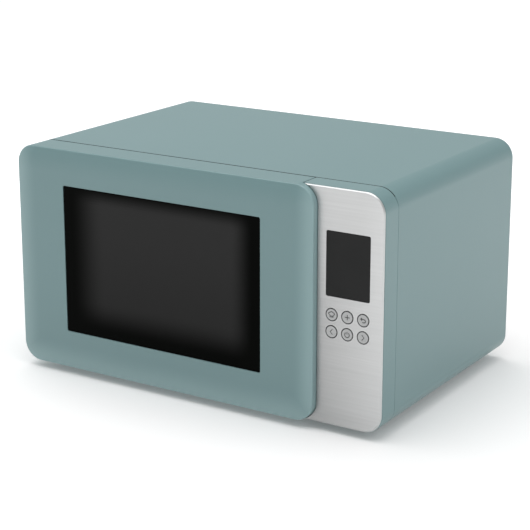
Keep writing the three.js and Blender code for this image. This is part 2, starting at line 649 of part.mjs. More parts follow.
function fanBlade() {
  const hubFront = SHROUD.front + 4.5;
  const bladeCount = 5;
  let blade = join(rod('y', [FAN.x, hubFront, FAN.z], 15, 11, 20),
    rod('y', [FAN.x, SHROUD.front - 9, FAN.z], 16, 2.3, 12));
  for (let i = 0; i < bladeCount; i += 1) {
    const vane = new THREE.BoxGeometry(FAN.radius - 12, 1.4, 24);
    vane.translate((FAN.radius + 8) / 2, 0, 0);
    vane.rotateX(THREE.MathUtils.degToRad(32));
    vane.rotateY((i / bladeCount) * Math.PI * 2);
    vane.translate(FAN.x, hubFront + 7.5, FAN.z);
    blade = blade.add(toSolid(vane));
  }
  return blade;
}

function filterBoard() {
  const back = REAR_PANEL - 4;
  const [x, z] = [CAVITY.right - 59.4, TOP - 63];
  const pillars = [-1, 1].flatMap((i) => [-1, 1].map((j) =>
    rod('y', [x + i * 34, back - 1, z + j * 20], 5 - SEAT, 2.5, 10)));
  return join(
    box(x - 40, x + 40, back - 1.6, back, z - 26, z + 26),
    box(x - 30, x - 10, back - 13, back - 1, z - 20, z + 2),
    rod('y', [x + 12, back - 14, z - 6], 13, 11, 20),
    rod('x', [x - 20, back - 6, z + 15], 34, 3, 12),
    box(x - 20, x - 16, back - 8, back - 1, z + 12, z + 18),
    box(x + 10, x + 14, back - 8, back - 1, z + 12, z + 18),
    ...pillars,
  );
}

addNode('fan_shroud', 'greyPlastic', fanShroud());
addNode('fan_motor', 'laminations', fanMotor());
addNode('fan_blade', 'whitePlastic', fanBlade());
addNode('filter_board', 'circuitBoard', filterBoard());

// ---------------------------------------------------------------- latch board and safety switches

const SWITCH = { width: 10, depth: 27, height: 16 };
const SWITCH_PLACES = [
  { name: 'primary_switch', hook: 1, side: 1 },
  { name: 'secondary_switch', hook: 0, side: 1 },
  { name: 'monitor_switch', hook: 0, side: -1 },
];

function latchBoard() {
  const front = FRAME_BACK + CLEARANCE;
  const [z0, z1] = [HOOK_HEIGHTS[0] - 36, HOOK_HEIGHTS[1] + 36];
  const plate = box(HOOK_X - 12, HOOK_X + 15, front, front + 3, z0, z1);
  const web = box(HOOK_X + 12, HOOK_X + 15, front + 1, front + 34, z0, z1);
  return cut(join(plate, web), ...HOOK_HEIGHTS.map((z) => hookSlot(z, front - 1, front + 4)));
}

function safetySwitch({ hook, side }) {
  const front = FRAME_BACK + CLEARANCE + 5;
  const nearHook = HOOK_HEIGHTS[hook] + side * (HOOK.height / 2 + HOOK.travel + 5);
  const [z0, z1] = side > 0 ? [nearHook, nearHook + SWITCH.height] : [nearHook - SWITCH.height, nearHook];
  const right = HOOK_X + 12 - CLEARANCE;
  const body = box(right - SWITCH.width, right, front, front + SWITCH.depth, z0, z1);
  const plunger = box(right - 7, right - 4, front + 8, front + 12,
    side > 0 ? z0 - 2 : z1 - 1, side > 0 ? z0 + 1 : z1 + 2);
  const terminals = [4, 13, 22].map((y) =>
    box(right - 6, right - 5.2, front + y - 2, front + y + 2,
      side > 0 ? z1 - 1 : z0 - 7, side > 0 ? z1 + 7 : z0 + 1));
  return join(body, plunger, ...terminals);
}

addNode('latch_board', 'whitePlastic', latchBoard());
for (const place of SWITCH_PLACES) addNode(place.name, 'blackPlastic', safetySwitch(place));

// ---------------------------------------------------------------- door

const SCREEN_PLANE = DOOR_REAR - 3; // back of the choke frame's flat
const COVER_FRONT = SCREEN_PLANE + CLEARANCE;

function doorShellSections() {
  const sections = [];
  for (const part of [0, 0.55, 1]) {
    const t = 1 - part;
    sections.push({ inset: EDGE_RADIUS + t * (CROWN_WIDTH - EDGE_RADIUS), at: CROWN_DEPTH * (1 - t) ** 2 });
  }
  for (const angle of [45, 90]) {
    const radians = THREE.MathUtils.degToRad(angle);
    sections.push({
      inset: EDGE_RADIUS * (1 - Math.sin(radians)),
      at: CROWN_DEPTH + EDGE_RADIUS * (1 - Math.cos(radians)),
    });
  }
  return sections.map(({ inset, at }) => ({ outline: doorOutline(inset), at: FRONT + at }));
}

function doorFrame() {
  const shell = loft([...doorShellSections(), { outline: doorOutline(0), at: DOOR_REAR }]);
  let frame = cut(shell,
    prism(doorOutline(DOOR_WALL), FRONT + DOOR_SKIN, DOOR_REAR + 1),
    prism(windowOutline(0), FRONT - 1, FRONT + DOOR_SKIN + 1));
  for (const arm of HINGE_ARMS) {
    const bossStart = arm.pinUp > 0 ? arm.z + 2 : arm.z - 13.5;
    const boss = rod('z', [HINGE_X, HINGE_Y, bossStart], 11.5, 5.3, 20);
    const gusset = box(LEFT + 1, HINGE_X, HINGE_Y - 5, HINGE_Y + 5, bossStart, bossStart + 11.5);
    const bore = rod('z', [HINGE_X, HINGE_Y, arm.z - 16], 32, PIN_RADIUS + CLEARANCE, 20);
    frame = join(frame, boss, gusset).subtract(bore);
    frame = frame.subtract(box(LEFT - 1, HINGE_X + 6, HINGE_Y - 9, DOOR_REAR + 1,
      arm.z - HINGE_ARM_THICKNESS / 2 - 0.7, arm.z + HINGE_ARM_THICKNESS / 2 + 0.7));
  }
  const chamfer = new THREE.Shape([
    new THREE.Vector2(LEFT - 1, DOOR_REAR + 1), new THREE.Vector2(LEFT - 1, DOOR_REAR - 2.5),
    new THREE.Vector2(LEFT + 2.5, DOOR_REAR + 1),
  ].reverse());
  return frame.subtract(uprightPrism(chamfer.getPoints(), BOTTOM - 1, TOP + 1));
}

function doorGlass() {
  return prism(windowOutline(-CLEARANCE), FRONT + 0.4, FRONT + 0.4 + GLASS_THICKNESS);
}

function doorChokeFrame() {
  const front = SCREEN_PLANE - CHOKE_DEPTH;
  const flatReach = 10;
  let frame = cut(
    aroundOpening(CHOKE_REACH, CHOKE_RISE, front, SCREEN_PLANE),
    cut(aroundOpening(CHOKE_REACH - SHEET, CHOKE_RISE - SHEET, front + SHEET, SCREEN_PLANE + 1),
      aroundOpening(flatReach, flatReach, front - 1, SCREEN_PLANE + 2)),
    aroundOpening(flatReach - SHEET, flatReach - SHEET, front - 1, SCREEN_PLANE - SHEET),
    prism(windowOutline(2), front - 1, SCREEN_PLANE + 1));
  frame = frame.add(cut(
    aroundOpening(CHOKE_REACH, CHOKE_RISE, SCREEN_PLANE - SHEET, SCREEN_PLANE),
    aroundOpening(CHOKE_REACH - 7, CHOKE_RISE - 7, front, SCREEN_PLANE + 1)));
  const fingers = { pitch: 37, slot: 3 };
  const span = CAVITY.right - CAVITY.left;
  const rise = CAVITY.top - CAVITY.bottom;
  for (let i = 0; i <= Math.floor(span / fingers.pitch); i += 1) {
    const x = CAVITY.left + 2 + i * fingers.pitch;
    for (const edge of [CAVITY.bottom - CHOKE_RISE, CAVITY.top + CHOKE_RISE]) {
      const slot = box(x, x + fingers.slot, SCREEN_PLANE - 9, SCREEN_PLANE + 1, edge - 8, edge + 8);
      frame = frame.subtract(slot);
    }
  }
  for (let i = 0; i <= Math.floor(rise / fingers.pitch); i += 1) {
    const z = CAVITY.bottom + 2 + i * fingers.pitch;
    for (const edge of [CAVITY.left - CHOKE_REACH, CAVITY.right + CHOKE_REACH]) {
      const slot = box(edge - 8, edge + 8, SCREEN_PLANE - 9, SCREEN_PLANE + 1, z, z + fingers.slot);
      frame = frame.subtract(slot);
    }
  }
  return frame;
}

function doorScreen() {
  const back = SCREEN_PLANE - SHEET - CLEARANCE;
  return prism(windowOutline(5), back - 0.6, back);
}

const COVER_REACH = 8; // choke cover's inner edge beyond the cavity opening

function chokeCover() {
  let cover = cut(
    prism(doorOutline(DOOR_WALL + CLEARANCE), COVER_FRONT, DOOR_REAR - 0.2),
    aroundOpening(COVER_REACH, COVER_REACH, COVER_FRONT - 1, DOOR_REAR + 1));
  for (const z of HOOK_HEIGHTS) cover = cover.subtract(hookSlot(z, COVER_FRONT - 1, DOOR_REAR + 1));
  for (const arm of HINGE_ARMS) {
    cover = cover.subtract(box(LEFT, HINGE_X + 6, COVER_FRONT - 1, DOOR_REAR + 1, arm.z - 3, arm.z + 3));
  }
  return cover;
}

function doorInnerPanel() {
  return aroundOpening(COVER_REACH - CLEARANCE, COVER_REACH - CLEARANCE, COVER_FRONT, COVER_FRONT + 1.5);
}

function latchPlate() {
  const half = HOOK.thickness / 2;
  const back = SCREEN_PLANE - 3;
  const [low, high] = [HOOK_HEIGHTS[0] - 16, HOOK_HEIGHTS[1] + 12];
  const spine = box(HOOK_X - half, HOOK_X + half, back - 14, back, low, high);
  const hooks = HOOK_HEIGHTS.map((z) => {
    const tip = SEAM + HOOK.reach;
    const under = z - HOOK.height / 2;
    const shank = box(HOOK_X - half, HOOK_X + half, back - 4, tip, under, z + HOOK.height / 2);
    const nose = new THREE.Shape([
      new THREE.Vector2(tip - 9, under + 1), new THREE.Vector2(tip - 7, under - HOOK.barb),
      new THREE.Vector2(tip - 4, under - HOOK.barb), new THREE.Vector2(tip, under + 1),
    ]);
    const geometry = new THREE.ExtrudeGeometry(nose, { depth: HOOK.thickness, bevelEnabled: false });
    geometry.rotateX(Math.PI / 2);
    geometry.rotateZ(Math.PI / 2);
    geometry.translate(HOOK_X - half, 0, 0);
    return join(shank, toSolid(geometry));
  });
  return join(spine, ...hooks);
}

addNode('door_frame', 'paint', doorFrame());
addNode('door_glass', 'blackGlass', doorGlass());
addNode('door_choke_frame', 'chassis', doorChokeFrame());
addNode('door_screen', 'screen', doorScreen());
addNode('choke_cover', 'blackPlastic', chokeCover());
addNode('door_inner_panel', 'clearGlass', doorInnerPanel());
addNode('latch_plate', 'whitePlastic', latchPlate());

// ---------------------------------------------------------------- control side

/** Everything of the front outline that lies right of the door, with the thin tips cut off. */
function rightOfDoor(solid, gap, tipTrim = 0) {
  return cut(solid, prism(doorOutline(-gap), FRONT - 5, SEAM + 5),
    box(LEFT - 5, DOOR_RIGHT - PANEL_TIP + tipTrim, FRONT - 5, SEAM + 5, BOTTOM - 5, TOP + 5));
}

const displayOutline = (grow) => roundedOutline(
  PANEL_X - DISPLAY.width / 2 - grow, PANEL_X + DISPLAY.width / 2 + grow,
  DISPLAY_BOTTOM - grow, DISPLAY_TOP + grow, DISPLAY.radius + grow, 3);
const BUTTON_NAMES = ['menu', 'plus', 'return', 'left', 'start', 'right'];
const buttonPlace = (index) => ({
  x: PANEL_X + ((index % 3) - 1) * BUTTON_PITCH,
  z: DISPLAY_BOTTOM - BUTTON.belowDisplay - Math.floor(index / 3) * BUTTON_PITCH,
});
const buttonBores = (y0, y1) => BUTTON_NAMES.map((_, index) => {
  const { x, z } = buttonPlace(index);
  return rod('y', [x, y0, z], y1 - y0, BUTTON_BORE, 20);
});

function panelHousing() {
  const outside = rightOfDoor(loft([
    { outline: caseOutline(FASCIA_INSET), at: HOUSING_FACE },
    { outline: caseOutline(0), at: HOUSING_FACE + FASCIA_INSET },
    { outline: caseOutline(0), at: SEAM - 2 * CLEARANCE },
  ]), PANEL_GAP);
  const inside = rightOfDoor(
    prism(caseOutline(HOUSING_WALL), HOUSING_INNER, SEAM + 1), PANEL_GAP + HOUSING_WALL, HOUSING_WALL);
  return cut(outside, inside, prism(displayOutline(-3), HOUSING_FACE - 1, HOUSING_INNER + 1),
    ...buttonBores(HOUSING_FACE - 1, HOUSING_INNER + 1));
}

function steelFascia() {
  const sheet = rightOfDoor(prism(caseOutline(FASCIA_INSET), FASCIA_FACE, FASCIA_BACK), PANEL_GAP, 0.5);
  return cut(sheet, prism(displayOutline(0), FASCIA_FACE - 1, FASCIA_BACK + 1),
    ...buttonBores(FASCIA_FACE - 1, FASCIA_BACK + 1));
}

function displayGlass() {
  return prism(displayOutline(-CLEARANCE), FASCIA_FACE + 0.1, FASCIA_BACK);
}

function displayModule() {
  const z = (DISPLAY_BOTTOM + DISPLAY_TOP) / 2;
  const halfWidth = DISPLAY.width / 2 - DISPLAY_MODULE.insideWidth;
  const halfHeight = DISPLAY.height / 2 - DISPLAY_MODULE.insideHeight;
  const block = (reach, front, back) => box(
    PANEL_X - halfWidth - reach, PANEL_X + halfWidth + reach, front, back,
    z - halfHeight - reach, z + halfHeight + reach);
  const nose = block(0, HOUSING_FACE + 0.5, HOUSING_INNER + 2);
  return join(nose, block(DISPLAY_MODULE.flange, HOUSING_INNER + 1, BOARD_FACE - SEAT));
}

function controlBoard() {
  const back = BOARD_FACE + 1.6;
  const [z0, z1] = [BOTTOM + 40, TOP - 30];
  const switches = BUTTON_NAMES.map((_, index) => {
    const { x, z } = buttonPlace(index);
    const top = BUTTON_STEM_END + BUTTON.travel + SEAT;
    const body = box(x - 3, x + 3, top + 1, BOARD_FACE + 0.5, z - 3, z + 3);
    return join(body, rod('y', [x, top, z], 1.5, 1.7, 12));
  });
  return join(
    box(PANEL_X - 30, PANEL_X + 30, BOARD_FACE, back, z0, z1),
    box(PANEL_X - 24, PANEL_X + 4, back - 0.5, back + 12, z0 + 8, z0 + 40),
    box(PANEL_X + 10, PANEL_X + 26, back - 0.5, back + 11, z0 + 8, z0 + 30),
    box(PANEL_X - 12, PANEL_X + 12, back - 0.5, back + 2.5, z0 + 80, z0 + 104),
    ...switches);
}

function button(index) {
  const { x, z } = buttonPlace(index);
  const face = -BUTTON.proud;
  const flange = HOUSING_INNER - FASCIA_FACE + SEAT;
  const stemEnd = BUTTON_STEM_END - FASCIA_FACE;
  const profile = [
    [0, face], [BUTTON.radius - 0.6, face], [BUTTON.radius, face + 0.6], [BUTTON.radius, flange],
    [BUTTON.radius + BUTTON.flange, flange], [BUTTON.radius + BUTTON.flange, flange + 1.2],
    [2, flange + 1.2], [2, stemEnd], [0, stemEnd],
  ];
  return turned('y', [x, FASCIA_FACE, z], profile, 16);
}

addNode('panel_housing', 'paint', panelHousing());
addNode('steel_fascia', 'steel', steelFascia());
addNode('display_glass', 'blackGlass', displayGlass());
addNode('display_module', 'blackPlastic', displayModule());
addNode('control_board', 'circuitBoard', controlBoard());
BUTTON_NAMES.forEach((name, index) => addNode(`button_${name}`, 'steel', button(index)));

// ---------------------------------------------------------------- turntable

const COUPLER_TOP = PLATE_BOTTOM - SEAT;

function turntableMotor() {
  const top = CAVITY.bottom - SHEET - CLEARANCE;
  return cut(
    join(rod('z', [TABLE_X, TABLE_Y, top - 17], 17, 25, 24),
      box(TABLE_X - 34, TABLE_X + 34, TABLE_Y - 6, TABLE_Y + 6, top - 1.2, top)),
    rod('z', [TABLE_X, TABLE_Y, top - 8], 10, 4, 12));
}

function driveCoupler() {
  const arms = [0, 1, 2].map((i) => {
    const arm = new THREE.BoxGeometry(22, 8, 5);
    arm.translate(11, 0, 0);
    arm.rotateZ((i / 3) * Math.PI * 2);
    arm.translate(TABLE_X, TABLE_Y, COUPLER_TOP - 2.5);
    return toSolid(arm);
  });
  return join(
    rod('z', [TABLE_X, TABLE_Y, CAVITY.bottom + 1], COUPLER_TOP - CAVITY.bottom - 1, 8, 20),
    rod('z', [TABLE_X, TABLE_Y, CAVITY.bottom - SHEET - 6], 9, 3.6, 12), ...arms);
}

function turntablePlate() {
  const rim = TURNTABLE_RADIUS;
  const profile = [[0, 0], [rim - 10, 0], [rim - 2, 4], [rim, 9], [rim - 2.5, 9], [rim - 11, 4], [0, 4]];
  const lugs = [0, 1, 2].map((i) => {
    const angle = ((i + 0.5) / 3) * Math.PI * 2;
    const [x, y] = [TABLE_X + LUG_CIRCLE * Math.cos(angle), TABLE_Y + LUG_CIRCLE * Math.sin(angle)];
    return rod('z', [x, y, PLATE_BOTTOM - 4], 5, 4, 10);
  });
  return join(turned('z', [TABLE_X, TABLE_Y, PLATE_BOTTOM], profile, 36), ...lugs);
}

const WHEEL_ANGLES = [90, 210, 330];
const AXLE_RADIUS = 1.6;

function rollerRing() {
  const [inner, outer] = [ROLLER_TRACK - 11, ROLLER_TRACK - 4.5];
  const band = turned('z', [TABLE_X, TABLE_Y, WHEEL_Z], [
    [inner, -3], [outer, -3], [outer, 3], [inner, 3], [inner, -3],
  ], 30);
  const axles = WHEEL_ANGLES.map((degrees) => {
    const axle = new THREE.CylinderGeometry(AXLE_RADIUS, AXLE_RADIUS, 12, 12);
    axle.rotateZ(-Math.PI / 2);
    axle.translate(outer + 5, 0, 0);
    axle.rotateZ(THREE.MathUtils.degToRad(degrees));
    axle.translate(TABLE_X, TABLE_Y, WHEEL_Z);
    return toSolid(axle);
  });
  return join(band, ...axles);
}

function rollerWheel(degrees) {
  const bore = AXLE_RADIUS + 0.25;
  const profile = [[bore, -3.2], [ROLLER_RADIUS - 0.8, -3.2], [ROLLER_RADIUS, -2.2], [ROLLER_RADIUS, 2.2],
    [ROLLER_RADIUS - 0.8, 3.2], [bore, 3.2], [bore, -3.2]];
  const wheel = new THREE.LatheGeometry(profile.map(([r, x]) => new THREE.Vector2(r, x)), 16);
  wheel.rotateZ(-Math.PI / 2);
  wheel.translate(ROLLER_TRACK, 0, 0);
  wheel.rotateZ(THREE.MathUtils.degToRad(degrees));
  wheel.translate(TABLE_X, TABLE_Y, WHEEL_Z);
  return toSolid(wheel);
}

addNode('turntable_motor', 'chassis', turntableMotor());
addNode('drive_coupler', 'whitePlastic', driveCoupler());
addNode('turntable_plate', 'clearGlass', turntablePlate());
addNode('roller_ring', 'whitePlastic', rollerRing());
WHEEL_ANGLES.forEach((degrees, index) =>
  addNode(`roller_wheel_${index + 1}`, 'greyPlastic', rollerWheel(degrees)));

export default oven;
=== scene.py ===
import json
import math

import bmesh
import bpy
from mathutils import Matrix, Vector


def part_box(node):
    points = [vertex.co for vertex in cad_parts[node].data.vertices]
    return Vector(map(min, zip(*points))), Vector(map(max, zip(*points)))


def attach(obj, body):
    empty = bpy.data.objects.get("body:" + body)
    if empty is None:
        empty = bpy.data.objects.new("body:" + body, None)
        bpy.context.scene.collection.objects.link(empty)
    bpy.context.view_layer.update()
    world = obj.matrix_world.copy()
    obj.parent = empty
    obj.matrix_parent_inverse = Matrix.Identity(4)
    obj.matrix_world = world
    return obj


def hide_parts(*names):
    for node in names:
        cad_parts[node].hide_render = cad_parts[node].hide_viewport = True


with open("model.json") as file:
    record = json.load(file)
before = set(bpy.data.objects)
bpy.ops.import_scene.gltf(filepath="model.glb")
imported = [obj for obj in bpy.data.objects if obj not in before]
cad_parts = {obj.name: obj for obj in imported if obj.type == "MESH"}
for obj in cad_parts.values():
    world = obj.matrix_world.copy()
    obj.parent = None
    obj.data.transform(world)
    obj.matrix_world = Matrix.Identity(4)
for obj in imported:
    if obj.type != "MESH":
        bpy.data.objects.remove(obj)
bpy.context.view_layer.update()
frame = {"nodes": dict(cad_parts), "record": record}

MM = 0.001
SHEET = 1.0  # pressed steel sheet
FIT = 0.3  # between pieces that touch
HAIRLINE = 0.05  # between faces drawn apart that are one sheet in the real oven

# ---------------------------------------------------------------- places, in millimetres, from the CAD


def span(node):
    """Lowest and highest corner of a CAD node in millimetres."""
    low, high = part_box(node)
    return low / MM, high / MM


CASING_LOW, CASING_HIGH = span("cabinet_wrap")
LEFT, SEAM, BOTTOM = CASING_LOW
RIGHT, BACK, TOP = CASING_HIGH
CORNER_RADIUS = 23.0
CORNER_STEPS = 12
REAR_ROUND = 3.0
LIP_WIDTH = 9.0
BASE_HALF = span("base_plate")[1].x + FIT

DOOR_LOW, DOOR_HIGH = span("door_frame")
FRONT, DOOR_REAR, DOOR_RIGHT = DOOR_LOW.y, DOOR_HIGH.y, DOOR_HIGH.x
CROWN_WIDTH = 28.0
CROWN_DEPTH = 3.4
DOOR_EDGE = 2.2
DOOR_WALL = 3.0
DOOR_SKIN = 5.0

GLASS_LOW, GLASS_HIGH = span("door_glass")
WINDOW = (GLASS_LOW.x - FIT, GLASS_HIGH.x + FIT, GLASS_LOW.z - FIT, GLASS_HIGH.z + FIT)
WINDOW_RADIUS = 2.0

FASCIA_LOW, FASCIA_HIGH = span("steel_fascia")
FASCIA_FACE, FASCIA_BACK = FASCIA_LOW.y, FASCIA_HIGH.y
FASCIA_INSET = 0.4
FASCIA_BEVEL = 1.1
PANEL_GAP = 0.4
HOUSING_LOW, HOUSING_HIGH = span("panel_housing")
HOUSING_FACE, HOUSING_BACK = HOUSING_LOW.y, HOUSING_HIGH.y
HOUSING_WALL = 2.5
DISPLAY_LOW, DISPLAY_HIGH = span("display_glass")
DISPLAY = (DISPLAY_LOW.x - FIT, DISPLAY_HIGH.x + FIT, DISPLAY_LOW.z - FIT, DISPLAY_HIGH.z + FIT)

BUTTON_RADIUS = 6.9
BUTTON_BORE = 7.45
COLLAR_RADIUS = 8.5
COLLAR_PLACE = 4.8  # behind the cap's face
COLLAR_THICKNESS = 1.0
STEM_RADIUS = 2.0
BUTTONS = {
    name: (sum(span(f"button_{name}"), Vector()) / 2)
    for name in ("menu", "plus", "return", "left", "start", "right")
}

HINGE_X, HINGE_Y = LEFT + 6.0, SEAM - 14.0  # pin axis
ARM_RISE = 10.0  # from the outer end of a hinge to the middle of its arm
HINGE_ARMS = {"lower": span("lower_hinge")[0].z + ARM_RISE, "upper": span("upper_hinge")[1].z - ARM_RISE}

TABLE_LOW, TABLE_HIGH = span("turntable_plate")
TABLE_X, TABLE_Y = (TABLE_LOW.x + TABLE_HIGH.x) / 2, (TABLE_LOW.y + TABLE_HIGH.y) / 2
TABLE_DEPTH = 9.0  # rim to underside
TABLE_FLOOR = 3.7  # glass thickness in the middle
LUG_CIRCLE = 17.0
LUG_RADIUS = 4.0

# ---------------------------------------------------------------- outlines


def arc(x, z, radius, start, stop, steps=CORNER_STEPS):
    """Points of an arc in degrees, both ends included."""
    angles = [math.radians(start + (stop - start) * i / steps) for i in range(steps + 1)]
    return [(x + radius * math.cos(a), z + radius * math.sin(a)) for a in angles]


def rounded(left, right, low, high, radius, steps=CORNER_STEPS):
    """Rounded rectangle; outlines with equal steps have equal point counts."""
    r = max(radius, 0.05)
    return (
        arc(right - r, high - r, r, 0, 90, steps)
        + arc(left + r, high - r, r, 90, 180, steps)
        + arc(left + r, low + r, r, 180, 270, steps)
        + arc(right - r, low + r, r, 270, 360, steps)
    )


def body_outline(inset, right=RIGHT, smallest=0.05):
    radius = max(CORNER_RADIUS - inset, smallest)
    return rounded(LEFT + inset, right - inset, BOTTOM + inset, TOP - inset, radius)


def door_outline(inset):
    return body_outline(inset, DOOR_RIGHT, 2.0)


def grown(limits, by):
    left, right, low, high = limits
    return left - by, right + by, low - by, high + by


def window_outline(grow):
    return rounded(*grown(WINDOW, grow), WINDOW_RADIUS + grow)


def display_outline(grow, steps=6):
    return rounded(*grown(DISPLAY, grow), 2.0 + grow, steps)


def casing_path(inset):
    """The body's outline from one side of the base slot over the top to the other side."""
    low, high = BOTTOM + inset, TOP - inset
    left, right = LEFT + inset, RIGHT - inset
    r = max(CORNER_RADIUS - inset, 0.5)
    return (
        [(BASE_HALF, low)]
        + arc(right - r, low + r, r, -90, 0)
        + arc(right - r, high - r, r, 0, 90)
        + arc(left + r, high - r, r, 90, 180)
        + arc(left + r, low + r, r, 180, 270)
        + [(-BASE_HALF, low)]
    )


def beside_door(inset, gap, blunt=0.12):
    """Outline of the control side: the body's outline inset, right of the door's outline grown by gap."""
    r = CORNER_RADIUS - inset
    reach = CORNER_RADIUS + gap
    centre_x = DOOR_RIGHT - CORNER_RADIUS
    rise = r - blunt
    start = math.degrees(math.asin(rise / reach))
    tip = centre_x + math.sqrt(reach**2 - rise**2)
    x0, z0, z1 = RIGHT - CORNER_RADIUS, BOTTOM + CORNER_RADIUS, TOP - CORNER_RADIUS
    return (
        [(tip, z0 - r)]
        + arc(x0, z0, r, 270, 360)
        + arc(x0, z1, r, 0, 90)
        + [(tip, z1 + r)]
        + arc(centre_x, z1, reach, start, 0)
        + arc(centre_x, z0, reach, 360, 360 - start)
    )


# ---------------------------------------------------------------- mesh helpers


def mesh_object(name, points, faces):
    """A mesh from points in millimetres, with doubled points merged and faces turned outwards."""
    mesh = bpy.data.meshes.new(name)
    mesh.from_pydata([Vector(p) * MM for p in points], [], faces)
    tidy(mesh)
    obj = bpy.data.objects.new(name, mesh)
    bpy.context.scene.collection.objects.link(obj)
    return obj


def tidy(mesh):
    bm = bmesh.new()
    bm.from_mesh(mesh)
    bmesh.ops.remove_doubles(bm, verts=bm.verts, dist=2e-6)
    bmesh.ops.dissolve_degenerate(bm, edges=bm.edges, dist=1e-6)
    bmesh.ops.recalc_face_normals(bm, faces=bm.faces)
    bm.to_mesh(mesh)
    bm.free()


def rings_object(name, rings, closed=False, ends=True, around=True):
    """Faces between rings of equal point count: closed joins the last ring to the first, ends caps them,
    and around joins each ring's last point to its first."""
    count = len(rings[0])
    points = [p for ring in rings for p in ring]
    faces = []
    for s in range(len(rings) if closed else len(rings) - 1):
        a, b = s * count, (s + 1) % len(rings) * count
        for i in range(count if around else count - 1):
            j = (i + 1) % count
            faces.append((a + i, a + j, b + j, b + i))
    if ends and not closed:
        faces.append(tuple(range(count)))
        faces.append(tuple(range(len(points) - count, len(points))))
    return mesh_object(name, points, faces)


def stack(name, sections, **options):
    """Rings in planes across Y: each section is (outline of x and z, y)."""
    return rings_object(name, [[(x, y, z) for x, z in outline] for outline, y in sections], **options)


def lathe(name, profile, centre, axis="z", segments=64, closed=False):
    """Turns a profile of (radius, distance along the axis) about an axis through centre."""
    rings = []
    for i in range(segments):
        a = 2 * math.pi * i / segments
        ring = []
        for radius, along in profile:
            u, v = max(radius, 0.0) * math.cos(a), max(radius, 0.0) * math.sin(a)
            offset = (u, along, v) if axis == "y" else (u, v, along)
            ring.append(tuple(c + o for c, o in zip(centre, offset)))
        rings.append(ring)
    return rings_object(name, rings, closed=True, around=closed)


def set_mesh(obj, mesh):
    old = obj.data
    obj.data = mesh
    bpy.data.meshes.remove(old)


def carve(obj, *tools):
    """Cuts the tools out of obj and removes them."""
    for tool in tools:
        modifier = obj.modifiers.new("cut", "BOOLEAN")
        modifier.operation = "DIFFERENCE"
        modifier.solver = "EXACT"
        modifier.object = tool
    apply_modifiers(obj)
    for tool in tools:
        bpy.data.objects.remove(tool)
    return obj


def apply_modifiers(obj):
    graph = bpy.context.evaluated_depsgraph_get()
    mesh = bpy.data.meshes.new_from_object(obj.evaluated_get(graph))
    obj.modifiers.clear()
    set_mesh(obj, mesh)
    tidy(obj.data)


def block(x0, x1, y0, y1, z0, z1):
    """A cutting tool between six planes."""
    outline = [(x0, z0), (x1, z0), (x1, z1), (x0, z1)]
    return stack("tool", [(outline, y0), (outline, y1)])


def plate(name, outlines, front, back, bevel=0.3, rounds=2):
    """A flat plate across Y with softened edges; the first outline is its rim and the others are holes."""
    curve = bpy.data.curves.new(name, "CURVE")
    curve.dimensions = "2D"
    curve.fill_mode = "BOTH"
    curve.extrude = ((back - front) / 2 - bevel) * MM
    curve.bevel_depth = bevel * MM
    curve.bevel_resolution = rounds
    curve.offset = -bevel * MM
    for outline in outlines:
        spline = curve.splines.new("POLY")
        spline.points.add(len(outline) - 1)
        spline.use_cyclic_u = True
        for point, (x, z) in zip(spline.points, outline):
            point.co = (x * MM, z * MM, 0, 1)
    return curve_mesh(name, curve, Matrix.Translation((0, (front + back) / 2 * MM, 0)))


def curve_mesh(name, curve, place):
    """Turns a curve drawn in X and Y into a mesh that stands upright and faces forwards."""
    source = bpy.data.objects.new(name, curve)
    bpy.context.scene.collection.objects.link(source)
    graph = bpy.context.evaluated_depsgraph_get()
    mesh = bpy.data.meshes.new_from_object(source.evaluated_get(graph))
    bpy.data.objects.remove(source)
    mesh.transform(place @ Matrix.Rotation(math.pi / 2, 4, "X"))
    tidy(mesh)
    obj = bpy.data.objects.new(name, mesh)
    bpy.context.scene.collection.objects.link(obj)
    return obj


def soften(obj, angle=32):
    """Smooth shading with creases kept and flats kept flat."""
    obj.data.shade_smooth()
    obj.data.set_sharp_from_angle(angle=math.radians(angle))
    modifier = obj.modifiers.new("even_shading", "WEIGHTED_NORMAL")
    modifier.keep_sharp = True
    return obj


def fit(obj, body, slot, finish, *nodes):
    """Gives a piece its finish, its body and the CAD nodes that it stands for; slot is not used."""
    obj.data.materials.clear()
    obj.data.materials.append(finish)
    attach(obj, body)
    if nodes:
        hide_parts(*nodes)
    return obj


# ---------------------------------------------------------------- material helpers


def paint(hexa, alpha=1.0):
    """Linear colour from an sRGB hex value."""
    values = []
    for shift in (16, 8, 0):
        c = ((hexa >> shift) & 255) / 255
        values.append(c / 12.92 if c <= 0.04045 else ((c + 0.055) / 1.055) ** 2.4)
    return (*values, alpha)


def add(tree, kind, inputs=None, **settings):
    """Adds one node: settings are its own properties, inputs are values or links for its sockets."""
    made = tree.nodes.new(kind)
    for name, value in settings.items():
        setattr(made, name, value)
    for socket, value in (inputs or {}).items():
        if isinstance(value, bpy.types.NodeSocket):
            tree.links.new(value, made.inputs[socket])
        else:
            made.inputs[socket].default_value = value
    return made


MIX_A, MIX_B, MIX_RESULT = 6, 7, 2  # colour sockets of a Mix node


def start_finish(name, **constants):
    """A material with one shader, its constants set on its own sockets, and object coordinates in metres."""
    material = bpy.data.materials.new(name)
    material.use_nodes = True
    tree = material.node_tree
    tree.nodes.clear()
    shader = add(tree, "ShaderNodeBsdfPrincipled", {k.replace("_", " "): v for k, v in constants.items()})
    add(tree, "ShaderNodeOutputMaterial", {"Surface": shader.outputs[0]})
    place = add(tree, "ShaderNodeTexCoord").outputs["Object"]
    return material, tree, shader, place


def per_mm(size):
    """Texture scale for features of this size in millimetres."""
    return 1000.0 / size


